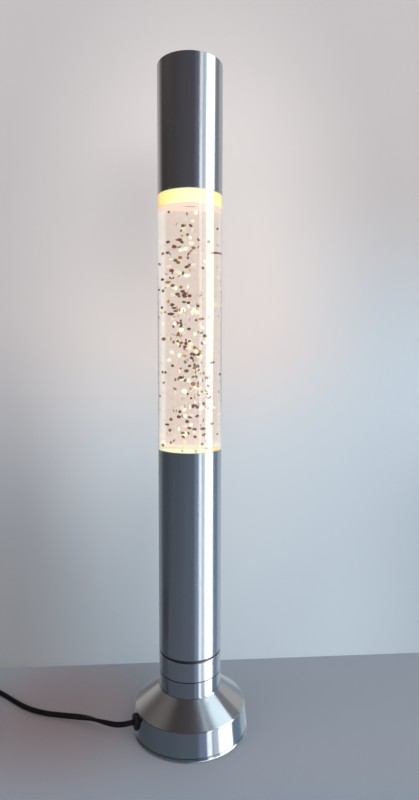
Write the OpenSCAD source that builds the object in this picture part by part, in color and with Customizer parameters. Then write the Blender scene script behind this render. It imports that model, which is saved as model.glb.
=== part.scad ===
// Slim glitter lamp: a spun metal foot and column, a clear liquid-filled tube
// that lifts out, and a metal cap. All sizes are millimetres, z = 0 is the table.

/* [Foot] */
// Radius of the foot's skirt at its lower edge
foot_r = 54; // [52:0.5:62]
// Radius of the foot's shoulder, where the skirt meets the cone
shoulder_r = 51.5; // [50.5:0.25:52]
// Height of the shoulder
skirt_h = 25.5; // [25:0.5:32]
// Height of the cone between the shoulder and the neck
cone_h = 17; // [12:0.5:24]
// Height of the straight neck above the cone
neck_h = 15; // [14:0.5:24]
// Wall of the spun foot shell
shell_t = 1.2; // [0.8:0.1:1.6]
// Radius of the bead rolled round the foot's lower edge
bead_r = 1.75; // [1.6:0.05:2.2]
// How far the bead stays above the table
bead_lift = 0.4; // [0.2:0.1:0.8]
// Inner radius of the bend at the shoulder
shoulder_round = 0.6; // [0.3:0.1:2]
// Outer radius of the bend at the neck
neck_round = 1.5; // [0.5:0.1:4]
// How far the neck and the cap stand inside the column's surface
neck_inset = 0.15; // [0:0.05:0.4]

/* [Base] */
// Thickness of the steel base plate
plate_t = 1.5; // [1:0.1:2]
// Thickness of the cast ballast disc
ballast_t = 5.5; // [4:0.1:5.8]
// Gap between the ballast and what stands inside the shell
ballast_gap = 0.6; // [0.4:0.1:5]
// Radius of the hole in the foam pad that clears the lowest nut
pad_hole_r = 13; // [11:0.5:16]

/* [Pipe and nuts] */
// Outer radius of the threaded pipe that holds the lamp together
pipe_r = 5; // [4.5:0.1:5.5]
// Bore radius of the threaded pipe
pipe_bore_r = 3.5; // [2.5:0.1:3.8]
// Width across the flats of the pipe nuts
nut_af = 14; // [13:0.1:15]
// Height of one pipe nut
nut_t = 2.6; // [2:0.1:2.8]
// Radius of one washer
washer_r = 9.5; // [8.8:0.1:10]
// Thickness of one washer
washer_t = 0.8; // [0.5:0.1:1]

/* [Column] */
// Outer radius of the column tube and of the clear tube
tube_r = 29; // [28.5:0.25:31]
// Wall of the column tube
tube_t = 1.2; // [0.8:0.1:1.6]
// Height of the column tube
column_h = 188.6; // [178:0.2:230]
// Height of the collar between the two seams
collar_h = 18; // [15:0.5:30]
// Height of the sleeve's flange that shows between collar and column
flange_h = 2.4; // [1.5:0.1:4]
// How far the flange stands inside the column's surface
flange_inset = 0.45; // [0.2:0.05:0.8]
// How far the sleeve reaches down into the neck
sleeve_down = 12; // [8:0.5:13]
// How far the sleeve reaches up into the column
sleeve_up = 14; // [8:0.5:24]
// Wall of the coupling sleeve
sleeve_t = 2.2; // [1.5:0.1:3]
// Thickness of the sleeve's web and of the clamped floor
web_t = 2.5; // [1.5:0.1:4]
// Thickness of the centring disc below the lampholder
disc_t = 1.2; // [0.8:0.1:2]

/* [Lampholder and bulb] */
// Outer radius of the lampholder
holder_r = 13.5; // [13:0.25:16]
// Height of the lampholder
holder_h = 44; // [42:0.5:45]
// Wall of the lampholder
holder_t = 1.8; // [1.2:0.1:2.2]
// Thickness of the lampholder's floor
holder_floor = 3; // [2:0.1:4]
// Height of the ceramic insert that carries the contacts
insert_h = 13; // [11:0.5:14]
// Radius of the bulb's screw cap
cap_thread_r = 6.95; // [6.8:0.05:7]
// Height of the bulb's screw cap
bulb_cap_h = 21; // [19:0.5:22]
// Largest radius of the reflector bulb
bulb_r = 19.5; // [18:0.25:21]
// Height of the bulb's dome above its widest ring
dome_h = 12; // [10:0.5:14]
// Overall length of the bulb, tip to dome
bulb_len = 66; // [64:0.5:70]
// Gap between the bulb's dome and the window above it
bulb_gap = 5; // [3:0.5:10]

/* [Clear tube] */
// Length of the clear tube that shows
clear_h = 226; // [180:1:260]
// Wall of the clear tube
clear_t = 3.5; // [3.2:0.1:4.5]
// Length of the spigot that stands in the column
spigot_h = 18; // [12:0.5:22]
// Length of the neck that stands in the cap
top_neck_h = 16; // [10:0.5:22]
// Gap between a spigot and the tube it stands in
slip_gap = 0.4; // [0.3:0.05:0.6]
// How far the liquid's floor lies below the column's edge
floor_drop = 1; // [0.5:0.25:3]
// Thickness of the window's flange under the clear tube
window_flange = 2; // [1.5:0.25:3]
// Height of the glowing stopper that shows below the cap
band_h = 11.5; // [8:0.5:16]
// Thickness of the stopper's bottom
stopper_floor = 5; // [4:0.25:7]
// Thickness of the stopper's flange on top of the neck
stopper_flange = 2.5; // [1.5:0.25:4]
// Wall of the hollow stopper
stopper_t = 6.5; // [5.5:0.25:10]
// Radius of the filler screw
filler_r = 4; // [3:0.25:5]
// Radius of the round that the O-rings are made of
ring_r = 0.95; // [0.8:0.05:1]

/* [Glitter] */
// Number of flakes
flake_n = 120; // [20:1:160]
// Radius of one flake
flake_r = 1.7; // [1:0.1:2]
// Thickness of one flake
flake_t = 0.3; // [0.2:0.05:0.5]

/* [Cap] */
// Height of the metal cap
cap_h = 111; // [90:1:140]
// Wall of the cap tube
cap_t = 1.2; // [0.8:0.1:1.6]
// Thickness of the disc that closes the cap
lid_t = 1.5; // [1:0.1:3]
// How far the disc lies below the cap's upper edge
lid_drop = 1; // [0.5:0.1:3]

/* [Grommet and clamp] */
// Radius of the grommet's flanges
grommet_r = 7.4; // [7:0.1:7.6]
// Radius of the hole in the skirt
grommet_hole_r = 5.4; // [4.8:0.1:5.8]
// Thickness of the grommet's outer flange
grommet_t = 2.4; // [1.5:0.1:2.8]
// Thickness of the grommet's inner flange
grommet_lip = 1.6; // [1.2:0.1:2]
// Length of the cord clamp
clamp_l = 10; // [8:0.5:12]
// Width of the cord clamp
clamp_w = 20; // [18:0.5:24]
// Distance of the clamp's middle from the lamp's axis
clamp_at = 33; // [31:0.5:36]
// Shank radius of the small screws
screw_r = 1.5; // [1.3:0.05:1.6]

/* [Flat flex] */
// Width of the flat two-core flex
flex_w = 5.2; // [5:0.1:5.6]
// Thickness of the flat two-core flex
flex_t = 3.2; // [3:0.1:3.4]
// Radius of one insulated core
core_r = 1.1; // [0.9:0.05:1.2]

/* [Switch] */
// Length of the in-line switch
switch_l = 58; // [56:0.5:64]
// Width of the in-line switch
switch_w = 24; // [22:0.5:28]
// Height of the in-line switch
switch_h = 17; // [16.5:0.25:20]
// Wall of the switch's two shells
switch_t = 1.8; // [1.4:0.1:2.2]
// Length of the rocker
rocker_l = 16; // [14:0.5:18]
// Width of the rocker
rocker_w = 9; // [7:0.5:12]
// How far the rocker leans to each side
rocker_lean = 8; // [5:0.5:9]

/* [Plug] */
// Width of the plug's face
plug_w = 35; // [33:0.5:36]
// Thickness of the plug
plug_t = 13.7; // [13:0.1:15]
// Length of the plug's body
plug_l = 36; // [32:0.5:38]
// Distance between the plug's pins
pin_gap = 18.6; // [18:0.1:19]
// Radius of one plug pin
pin_r = 2; // [1.8:0.05:2.1]
// Length of one plug pin
pin_l = 19; // [18:0.5:19]
// Length of the plug's strain relief
relief_l = 20; // [18:0.5:20]

/* [Hidden] */
$fn = 96;

// Clearances and small finishing sizes
fit = 0.05;           // between pieces that are pressed or screwed together
ease = 0.2;           // round pieces that drop in by hand
run = 0.08;           // between a turning piece and its seat
edge = 0.4;           // chamfer on turned edges
hair = 0.01;          // how far a cut runs past a face
bead_out = 0.4;       // the bead stands this far outside the skirt
arc_steps = 8;

// Radii that follow from the driving sizes
neck_r = tube_r - neck_inset;
cap_r = tube_r - neck_inset;
sleeve_low_r = neck_r - shell_t - 0.1;
sleeve_high_r = tube_r - tube_t - 0.1;
spigot_r = tube_r - tube_t - slip_gap;
top_neck_r = cap_r - cap_t - slip_gap;
bore_r = tube_r - clear_t;
plug_seat_r = bore_r - fit;
ballast_r = shoulder_r - shell_t - grommet_lip - ballast_gap;
bead_ring_r = foot_r + bead_out - bead_r;
pad_r = bead_ring_r - bead_r - 0.5;

// Heights, from the table up
bead_z = bead_lift + bead_r;
plate_z = bead_lift + 2 * bead_r;
ballast_z = plate_z + plate_t;
ballast_top = ballast_z + ballast_t;
cone_top = skirt_h + cone_h;
neck_top = cone_top + neck_h;
flange_z = neck_top + collar_h;
column_z = flange_z + flange_h;
column_top = column_z + column_h;
web_z = neck_top - sleeve_down;
web_top = web_z + web_t;
tube_end = column_top - spigot_h;
window_z = tube_end - window_flange;
liquid_z = column_top - floor_drop;
bulb_top = window_z - bulb_gap;
bulb_z = bulb_top - bulb_len;
holder_z = bulb_z - 20;
disc_z = holder_z - nut_t - disc_t;
pipe_top = holder_z + holder_floor + 5;
cap_z = column_top + clear_h;
stopper_z = cap_z - band_h;
neck_end = cap_z + top_neck_h;
stopper_end = neck_end + stopper_flange;
cap_top = cap_z + cap_h;
pipe_z = 0.5;

// The flex: where it leaves the foot, and its section standing on edge
cord_az = 200;
cord_z = 15.4;
flex_half = flex_w / 2;
clamp_hold = 0.1;
exit_r = skirt_at(cord_z) + grommet_t;
lip_r = skirt_at(cord_z) - shell_t - grommet_lip;
core_run_r = 13;
core_top_r = 9.5;
core_gap = 1.6;
octagon = [for (s = [[1, 0.42], [0.5, 1], [-0.5, 1], [-1, 0.42],
    [-1, -0.42], [-0.5, -1], [0.5, -1], [1, -0.42]]) [s[0] * flex_t / 2, s[1] * flex_half]];
hexagon = [for (s = [[1, 0.46], [0, 1], [-1, 0.46], [-1, -0.46], [0, -1], [1, -0.46]])
    [s[0] * flex_t / 2, s[1] * flex_half]];

// The free flex runs left from the foot, on edge with one half twist, to the switch
lead_points = [[-58.8, -21, 15.2], [-63.2, -21.2, 14.9], [-67.6, -20.4, 14.5],
    [-71.8, -18.8, 14.1], [-78.4, -15.3, 13.3], [-86.6, -10.1, 12], [-94, -5.4, 10.9],
    [-101.3, -2, 9.8], [-109, 1.2, 8.7], [-117.8, 4.5, 7.5], [-127.6, 8.1, 6.3],
    [-136, 11.3, 5.3], [-144, 15, 4.5], [-154, 20.3, 3.6], [-166.4, 28.4, 2.9],
    [-180, 39, 2.7], [-190, 47, 2.7], [-200, 54.2, 2.7], [-210, 60, 3.2], [-219, 63.7, 4.8],
    [-227, 65.6, 7]];
lead_twist = [0, 0, 0, 0, 0, 4, 18, 48, 80, 114, 142, 162, 174, 180, 180, 180, 180, 180, 180,
    180, 180, 180, 180, 180, 180, 180];

// The switch lies past the left edge of the view, along x
switch_at = [-266, 66];
switch_in = 6;
flex_in_z = 8;
split_z = 9;

// From the switch the flex turns back into the coil
link_points = [[-302, 65.4, 7.4], [-309, 62.4, 6.2], [-315, 57.2, 5.2], [-319.6, 50, 4.5],
    [-322, 41.5, 4.1], [-322.6, 31, 3.9]];

// The coil: two layers wound on edge, in and out again
coil_at = [-285, 12];
coil_r = 37.6;
coil_turns = 7.5;
coil_pitch = 3.9;
coil_layer = 5.9;
coil_z = 3.9;
coil_start = 180;
rings_per_turn = 24;
tie_angles = [50, 215];
tie_w = 6;
tie_t = 0.8;
tie_gap = 0.3;

// The flex turns back beside the coil, down to the table and up into the plug,
// whose pins point to the front
tail_bend = 21;
tail_heights = [9.8, 9.5, 8.5, 7.2, 5.8, 4.5, 3.5, 3, 3.1, 3.9, 5.1, 6.3, 6.85];
plug_at = [coil_at[0] + coil_r + 2 * tail_bend, 2];
pin_bare = 9;
pin_step = 0.4;
pin_sleeve_l = pin_l - pin_bare;
relief_end_r = 3.6;
relief_root_r = 5.4;

// ---- shared shapes ----

// Left-hand normal of the direction that points at angle a
function normal(a) = [-sin(a), cos(a)];

// Where two lines meet after both move t to their left at a corner p
function miter(p, a1, a2, t) =
    p + t * (normal(a1) + normal(a2)) / (1 + normal(a1) * normal(a2));

// A corner rounded with radius r, on the path that runs t to the left of it
function bend(p, a1, a2, r, t) =
    let (left = a2 > a1, c = miter(p, a1, a2, left ? r : -r), k = left ? r - t : r + t)
    [for (i = [0:arc_steps]) let (a = a1 + (a2 - a1) * i / arc_steps + (left ? -90 : 90))
        c + k * [cos(a), sin(a)]];

function reversed(list) = [for (i = [len(list) - 1:-1:0]) list[i]];
function unit(v) = v / norm(v);
function polar(r, a, z) = [r * cos(a), r * sin(a), z];
function total(list, i = 0) = i < len(list) ? list[i] + total(list, i + 1) : 0;

// Radius of the skirt's outside at a height
function skirt_at(z) = foot_r - (foot_r - shoulder_r) * (z - bead_z) / (skirt_h - bead_z);

// Direction of a route at its point i
function along(path, i) = unit(path[min(i + 1, len(path) - 1)] - path[max(i - 1, 0)]);

// Sideways direction at point i: level for a route near the table
function level_side(path, i) = unit(cross(along(path, i), [0, 0, 1]));

// A closed tube through path, its section turned by twist degrees about the route
module swept(path, section, sides, twist) {
    n = len(section);
    last = len(path) - 1;
    rings = [for (i = [0:last]) let (s = sides[i], u = cross(s, along(path, i)), a = twist[i])
        for (q = section) path[i] + s * (q[0] * cos(a) - q[1] * sin(a))
            + u * (q[0] * sin(a) + q[1] * cos(a))];
    walls = [for (i = [0:last - 1], j = [0:n - 1]) let (k = (j + 1) % n, a = i * n, b = a + n)
        for (f = [[a + j, a + k, b + k], [a + j, b + k, b + j]]) f];
    caps = [for (j = [1:n - 2], f = [[0, j + 1, j],
        [last * n, last * n + j, last * n + j + 1]]) f];
    polyhedron(points = rings, faces = concat(walls, caps));
}

// Free flex on the table: its wide side stands upright
module flex(path, section, twist = []) {
    last = len(path) - 1;
    swept(path, section, [for (i = [0:last]) level_side(path, i)],
        len(twist) > last ? twist : [for (i = [0:last]) 0]);
}

module ring(r_out, r_in, h) {
    difference() {
        cylinder(r = r_out, h = h);
        translate([0, 0, -hair]) cylinder(r = r_in, h = h + 2 * hair);
    }
}

// A tube with its outer edges chamfered
module turned_tube(r_out, r_in, h) {
    rotate_extrude() polygon([[r_in, 0], [r_out - edge, 0], [r_out, edge],
        [r_out, h - edge], [r_out - edge, h], [r_in, h]]);
}

module pipe_nut() {
    difference() {
        cylinder(r = nut_af / 2 / cos(30), h = nut_t, $fn = 6);
        translate([0, 0, -hair]) cylinder(r = pipe_r + fit, h = nut_t + 2 * hair);
    }
}

// Slot with round ends for the flex on edge, along x
module flex_slot(gap, length) {
    t = flex_t / 2 + gap;
    rotate([0, 90, 0]) for (s = [-1, 1])
        translate([s * (flex_w - flex_t) / 2, 0, 0]) cylinder(r = t, h = length);
    translate([0, -t, -(flex_w - flex_t) / 2]) cube([length, 2 * t, flex_w - flex_t]);
}

// Small slotted screw with its head's underside at z = 0
module screw(head_r, head_t, shank_r, shank_l) {
    difference() {
        union() {
            cylinder(r = head_r, h = head_t);
            translate([0, 0, -shank_l]) cylinder(r = shank_r, h = shank_l + hair);
        }
        translate([-head_r, -0.4, head_t * 0.5]) cube([2 * head_r, 0.8, head_t]);
    }
}

module toward_cord() { rotate([0, 0, cord_az]) children(); }

// ---- foot ----

skirt_angle = 90 + atan((foot_r - shoulder_r) / (skirt_h - bead_z));
cone_angle = 180 - atan(cone_h / (shoulder_r - neck_r));

// The shell's profile, t inside its outer face
function shell_path(t) = concat(
    [[foot_r, bead_z] + t * normal(skirt_angle)],
    bend([shoulder_r, skirt_h], skirt_angle, cone_angle, shoulder_round + shell_t, t),
    bend([neck_r, cone_top], cone_angle, 90, neck_round, t),
    [[neck_r - t, neck_top]]);

module foot_shell() {
    color([0.72, 0.73, 0.76]) difference() {
        union() {
            rotate_extrude() polygon(concat(shell_path(0), reversed(shell_path(shell_t))));
            rotate_extrude() translate([bead_ring_r, bead_z]) circle(r = bead_r, $fn = 32);
        }
        toward_cord() radial_disc(grommet_hole_r, foot_r - 10, foot_r + 10);
    }
}

module base_plate() {
    color([0.45, 0.46, 0.48]) translate([0, 0, plate_z])
        ring(skirt_at(ballast_z) - shell_t - 0.25, pipe_r + ease, plate_t);
}

module base_pad() {
    color([0.1, 0.1, 0.11]) ring(pad_r, pad_hole_r, plate_z);
}

module ballast_weight() {
    color([0.28, 0.28, 0.29]) difference() {
        translate([0, 0, ballast_z]) ring(ballast_r, pipe_r + ease, ballast_t);
        at_clamp_screws() translate([0, 0, ballast_z + 1])
            cylinder(r = screw_r + fit, h = ballast_t);
    }
}

// ---- threaded pipe and its nuts ----

module support_pipe() {
    color([0.75, 0.74, 0.68]) translate([0, 0, pipe_z]) ring(pipe_r, pipe_bore_r, pipe_top - pipe_z);
}

module pipe_nuts() {
    heights = [plate_z - washer_t - nut_t, ballast_top + washer_t, web_top + washer_t,
        disc_z - nut_t, disc_z + disc_t];
    color([0.78, 0.72, 0.5]) for (z = heights) translate([0, 0, z]) pipe_nut();
}

module pipe_washers() {
    color([0.66, 0.66, 0.68]) for (z = [plate_z - washer_t, ballast_top, web_top])
        translate([0, 0, z]) ring(washer_r, pipe_r + ease, washer_t);
}

// ---- column ----

module neck_collar() {
    color([0.7, 0.71, 0.75]) translate([0, 0, neck_top])
        turned_tube(neck_r, neck_r - shell_t, collar_h);
}

module coupling_sleeve() {
    color([0.62, 0.63, 0.66]) difference() {
        union() {
            translate([0, 0, web_z]) cylinder(r = sleeve_low_r, h = flange_z - web_z);
            translate([0, 0, flange_z]) cylinder(r = tube_r - flange_inset, h = flange_h);
            translate([0, 0, column_z - hair]) cylinder(r = sleeve_high_r, h = sleeve_up + hair);
        }
        translate([0, 0, web_top]) cylinder(r = sleeve_low_r - sleeve_t, h = 200);
        translate([0, 0, web_z - hair]) cylinder(r = pipe_r + ease, h = web_t + 2 * hair);
        core_hole(core_run_r, web_z, web_t);
    }
}

// Hole at radius x through a disc at height z, for the two cores
module core_hole(x, z, t) {
    toward_cord() translate([x, 0, z - hair])
        cylinder(r = core_gap + core_r + 0.6, h = t + 2 * hair);
}

module column_tube() {
    color([0.7, 0.72, 0.76]) translate([0, 0, column_z])
        turned_tube(tube_r, tube_r - tube_t, column_h);
}

module centring_disc() {
    vent_r = 5.5;
    color([0.75, 0.75, 0.77]) difference() {
        translate([0, 0, disc_z]) ring(tube_r - tube_t - 0.2, pipe_r + ease, disc_t);
        for (a = [60:60:300]) toward_cord() rotate([0, 0, a]) translate([18, 0, disc_z - hair])
            cylinder(r = vent_r, h = disc_t + 2 * hair);
        core_hole(core_top_r, disc_z, disc_t);
    }
}

// ---- flex inside the foot ----

module cord_grommet() {
    color([0.06, 0.06, 0.07]) toward_cord() difference() {
        union() {
            difference() {
                radial_disc(grommet_r, foot_r - 8, exit_r);
                skirt_block(fit);
            }
            intersection() {
                radial_disc(grommet_r, lip_r, foot_r);
                skirt_block(-shell_t - fit);
            }
            radial_disc(grommet_hole_r - fit, lip_r, exit_r);
        }
        translate([foot_r - 15, 0, cord_z]) flex_slot(fit, 30);
    }
}

// A disc across the flex, from x0 to x1 along it
module radial_disc(r, x0, x1) {
    translate([x0, 0, cord_z]) rotate([0, 90, 0]) cylinder(r = r, h = x1 - x0);
}

// The solid that the skirt's outside encloses, grown by gap
module skirt_block(gap) {
    translate([0, 0, bead_z]) cylinder(r1 = foot_r + gap, r2 = shoulder_r + gap,
        h = skirt_h - bead_z);
}

module cord_clamp() {
    clamp_h = cord_z + flex_half + 3 - ballast_top;
    color([0.85, 0.84, 0.8]) difference() {
        toward_cord() translate([clamp_at - clamp_l / 2, -clamp_w / 2, ballast_top])
            cube([clamp_l, clamp_w, clamp_h]);
        toward_cord() translate([clamp_at - clamp_l, 0, cord_z])
            flex_slot(clamp_hold, 2 * clamp_l);
        toward_cord() translate([clamp_at - clamp_l, -flex_t / 2 - clamp_hold, ballast_top - 1])
            cube([2 * clamp_l, flex_t + 2 * clamp_hold, cord_z - ballast_top + 1]);
        at_clamp_screws() translate([0, 0, ballast_top - hair])
            cylinder(r = screw_r + fit, h = clamp_h + 2 * hair);
    }
}

module at_clamp_screws() {
    for (s = [-1, 1]) toward_cord() translate([clamp_at, s * clamp_w * 0.32, 0]) children();
}

module clamp_screws() {
    clamp_top = cord_z + flex_half + 3;
    color([0.7, 0.7, 0.72]) at_clamp_screws() translate([0, 0, clamp_top])
        screw(2.75, 1.8, screw_r, clamp_top - ballast_z - 1.5);
}

// Sheathed flex from the grommet's face to just inside the clamp
sheath_end = clamp_at - clamp_l / 2 - 3;
module inner_lead() {
    color([0.07, 0.07, 0.08]) toward_cord() translate([sheath_end, 0, cord_z])
        flex_slot(0, exit_r - sheath_end);
}

// One of the two cores, from the cut sheath up beside the pipe to the lampholder
function core_path(s) = concat(
    [for (q = [[0, 0.15, 0], [1.2, 0.15, 0], [4, 0.3, 0.2], [7, 0.7, 1.8], [9.4, 1, 4.6],
        [11.4, 1, 8.6], [12, 1, 13]])
        [sheath_end - q[0] * (sheath_end - core_run_r) / 12, s * core_gap * q[1],
            cord_z + s * 1.1 * (1 - q[1]) + q[2]]],
    [for (k = [0:4]) [core_run_r, s * core_gap, cord_z + 18 + (web_top - cord_z) * k / 4]],
    [for (k = [1:6]) let (e = k / 6) [core_run_r + (core_top_r - core_run_r) * e * e * (3 - 2 * e),
        s * core_gap, web_top + 18 + (disc_z - web_top - 30) * e]],
    [for (z = [disc_z, holder_z + holder_floor + 1]) [core_top_r, s * core_gap, z]]);

module inner_cores() {
    round_section = [for (a = [0:45:315]) core_r * [cos(a), sin(a)]];
    for (s = [-1, 1]) color(s > 0 ? [0.35, 0.2, 0.12] : [0.15, 0.3, 0.6]) toward_cord() {
        path = core_path(s);
        swept(path, round_section,
            [for (i = [0:len(path) - 1]) unit(cross(along(path, i), [0.01, 1, 0.01]))],
            [for (p = path) 0]);
    }
}

// ---- lampholder ----

module lampholder() {
    color([0.12, 0.12, 0.12]) difference() {
        translate([0, 0, holder_z]) cylinder(r = holder_r, h = holder_h);
        translate([0, 0, holder_z + holder_floor])
            cylinder(r = holder_r - holder_t, h = holder_h);
        translate([0, 0, holder_z - hair]) cylinder(r = pipe_r + fit, h = 10);
        toward_cord() for (s = [-1, 1]) translate([core_top_r, s * core_gap, holder_z - hair])
            cylinder(r = core_r + ease, h = 10);
    }
}

insert_z = holder_z + holder_floor + 1.2;
insert_top = insert_z + insert_h;
thread_t = 0.6;
module holder_insert() {
    color([0.9, 0.89, 0.85]) difference() {
        translate([0, 0, insert_z]) cylinder(r = holder_r - holder_t - fit, h = insert_h);
        translate([0, 0, insert_z - hair]) cylinder(r = pipe_r + ease, h = pipe_top - insert_z + 1);
        at_terminals() translate([0, 0, insert_top - 6]) cylinder(r = 1.4 + fit, h = 7);
    }
}

module at_terminals() {
    middle = (cap_thread_r + run + thread_t + holder_r - holder_t - fit) / 2;
    toward_cord() for (s = [-1, 1]) rotate([0, 0, s * 26]) translate([middle, 0, 0]) children();
}

module terminal_screws() {
    color([0.8, 0.72, 0.45]) at_terminals() translate([0, 0, insert_top])
        screw(1.7, 1, 1.4, 5);
}

module holder_thread() {
    color([0.82, 0.7, 0.35]) translate([0, 0, insert_top])
        ring(cap_thread_r + run + thread_t, cap_thread_r + run,
            bulb_z + bulb_cap_h - insert_top);
}

// Springy tongue under the bulb's tip
module centre_contact() {
    color([0.82, 0.7, 0.35]) {
        translate([-4, -2, insert_top]) cube([8, 4, 0.6]);
        translate([-1.5, -2, insert_top]) cube([3, 4, bulb_z - insert_top]);
    }
}

// ---- bulb ----

// The reflector bulb's outline, t inside its outer face
function bulb_path(t) = let (low = bulb_z + bulb_cap_h + 0.2, wide = bulb_top - dome_h)
    concat([[cap_thread_r - 0.9 - t, low], [cap_thread_r + 1.6 - t, low + 4]],
        [for (i = [0:6]) let (k = i / 6) [cap_thread_r + 1.6 - t
            + (bulb_r - cap_thread_r - 1.6) * (k * k * (3 - 2 * k)), low + 5 + (wide - low - 5) * k]],
        [for (a = [6:6:90]) [(bulb_r - t) * cos(a), wide + (dome_h - t) * sin(a)]]);

module bulb_glass() {
    color([0.95, 0.93, 0.88]) rotate_extrude()
        polygon(concat(bulb_path(0), reversed(bulb_path(0.8))));
}

module bulb_screw_cap() {
    pitch = 2.82;
    turns = floor((bulb_cap_h - 6) / pitch);
    color([0.78, 0.78, 0.76]) rotate_extrude() polygon(concat(
        [[0, bulb_z + 3], [cap_thread_r - 1.4, bulb_z + 3]],
        [for (i = [0:turns * 8]) [cap_thread_r - 0.25 - 0.25 * cos(i * 45),
            bulb_z + 4 + i * pitch / 8]],
        [[cap_thread_r - 0.5, bulb_z + bulb_cap_h], [0, bulb_z + bulb_cap_h]]));
}

module bulb_insulator() {
    color([0.08, 0.08, 0.1]) translate([0, 0, bulb_z + 1])
        cylinder(r1 = 2.6, r2 = cap_thread_r - 1.4, h = 2);
}

module bulb_tip() {
    color([0.75, 0.74, 0.7]) translate([0, 0, bulb_z]) cylinder(r1 = 2.2, r2 = 2.6, h = 1);
}

// Stem, two leaning support wires and the coiled filament between their tips
module filament() {
    stem_h = 14;
    wire_l = 14;
    lean = 26;
    foot = 1.6;
    stem_top = bulb_z + bulb_cap_h + stem_h;
    tip = foot + wire_l * sin(lean);
    color([0.85, 0.75, 0.55]) {
        translate([0, 0, bulb_z + bulb_cap_h]) cylinder(r = 2.6, h = stem_h + 0.1);
        for (s = [-1, 1]) translate([s * foot, 0, stem_top]) rotate([0, s * lean, 0])
            cylinder(r = 0.4, h = wire_l);
        translate([-tip, 0, stem_top + wire_l * cos(lean) - 0.3]) rotate([0, 90, 0])
            cylinder(r = 0.7, h = 2 * tip);
    }
}

// ---- clear tube with its liquid ----

module clear_tube() {
    color([0.9, 0.88, 0.84, 0.35]) rotate_extrude() polygon([[bore_r, tube_end],
        [spigot_r - edge, tube_end], [spigot_r, tube_end + edge], [spigot_r, column_top],
        [tube_r - edge, column_top], [tube_r, column_top + edge], [tube_r, cap_z - edge],
        [tube_r - edge, cap_z], [top_neck_r, cap_z], [top_neck_r, neck_end - edge],
        [top_neck_r - edge, neck_end], [bore_r, neck_end]]);
}

// Two grooves for seal rings, cut into a plug that stands in the bore from z0 to z1
function seal_heights(z0, z1) = [z0 + (z1 - z0) * 0.3, z0 + (z1 - z0) * 0.7];
module seal_grooves(z0, z1) {
    for (z = seal_heights(z0, z1)) translate([0, 0, z - ring_r - ease])
        ring(bore_r + 1, bore_r - 2 * ring_r - fit, 2 * (ring_r + ease));
}

module bottom_window() {
    color([0.98, 0.9, 0.6, 0.6]) difference() {
        union() {
            translate([0, 0, window_z]) cylinder(r = spigot_r - edge, h = window_flange);
            translate([0, 0, tube_end - hair])
                cylinder(r = plug_seat_r, h = liquid_z - tube_end + hair);
        }
        seal_grooves(tube_end, liquid_z);
    }
}

module seal_rings() {
    color([0.5, 0.12, 0.08]) for (z = concat(seal_heights(tube_end, liquid_z),
        seal_heights(cap_z, neck_end))) translate([0, 0, z]) rotate_extrude()
            translate([bore_r - ring_r - fit / 2, 0]) circle(r = ring_r, $fn = 24);
}

module liquid_fill() {
    color([0.93, 0.87, 0.8, 0.3]) translate([0, 0, liquid_z])
        cylinder(r = plug_seat_r, h = stopper_z - liquid_z);
}

// Round flakes on a golden-angle spiral, most of them in the rising plume
module glitter_flakes() {
    low = liquid_z + 4;
    high = stopper_z - 8;
    for (i = [0:flake_n - 1]) {
        k = (i + 0.5) / flake_n;
        out = (bore_r - 2 * flake_r - 1) * pow((i * 7 % 11 + 1) / 11, 0.8);
        color(i % 3 == 0 ? [0.95, 0.9, 0.75] : i % 3 == 1 ? [0.45, 0.28, 0.16] : [0.85, 0.6, 0.2])
            translate(polar(out, i * 137.5, low + (high - low) * k))
            rotate([(i * 53) % 90, (i * 37) % 90, 0])
            cylinder(r = flake_r, h = flake_t, center = true, $fn = 10);
    }
}

module top_stopper() {
    color([0.99, 0.93, 0.5, 0.9]) difference() {
        union() {
            translate([0, 0, stopper_z]) cylinder(r = plug_seat_r, h = neck_end - stopper_z + hair);
            translate([0, 0, neck_end]) cylinder(r = top_neck_r - edge, h = stopper_flange);
        }
        translate([0, 0, stopper_z + stopper_floor]) cylinder(r = bore_r - stopper_t, h = 100);
        translate([0, 0, stopper_z - hair]) cylinder(r = filler_r + fit, h = 20);
        seal_grooves(cap_z, neck_end);
    }
}

module filler_washer() {
    color([0.5, 0.12, 0.08]) translate([0, 0, stopper_z + stopper_floor])
        ring(filler_r + 2.5, filler_r + ease, 1);
}

module filler_screw() {
    color([0.92, 0.92, 0.9]) translate([0, 0, stopper_z + stopper_floor + 1])
        screw(filler_r + 2.5, 3, filler_r, stopper_floor + 1 - 0.2);
}

// ---- cap ----

module cap_tube() {
    rim_r = 0.5;
    rim = [for (a = [0:15:90]) [cap_r - rim_r + rim_r * cos(a), cap_h - rim_r + rim_r * sin(a)]];
    color([0.7, 0.71, 0.73]) translate([0, 0, cap_z]) rotate_extrude() polygon(concat(
        [[cap_r - cap_t, 0], [cap_r - edge, 0], [cap_r, edge]], rim, [[cap_r - cap_t, cap_h]]));
}

module cap_lid() {
    color([0.66, 0.67, 0.69]) translate([0, 0, cap_top - lid_drop - lid_t])
        cylinder(r = cap_r - cap_t - fit, h = lid_t);
}

// ---- in-line switch, along x, its rocker on top ----

module at_switch() { translate([switch_at[0], switch_at[1], 0]) children(); }

// Footprint of the switch with round corners, inset by d
module switch_outline(d) {
    r = 5;
    w = switch_w / 2 - r;
    l = switch_l / 2 - r;
    for (x = [-l, l], y = [-w, w]) translate([x, y]) circle(r = r - d, $fn = 48);
    square([2 * l, 2 * (w + r - d)], center = true);
    square([2 * (l + r - d), 2 * w], center = true);
}

module switch_shell(z0, z1, floor_at) {
    difference() {
        translate([0, 0, z0]) linear_extrude(z1 - z0) switch_outline(0);
        translate([0, 0, floor_at]) linear_extrude(z1 - z0 - switch_t + 2 * hair)
            switch_outline(switch_t);
        for (s = [0, 180]) rotate([0, 0, s])
            translate([switch_l / 2 - 8, 0, flex_in_z]) flex_slot(ease, 10);
    }
}

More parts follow.
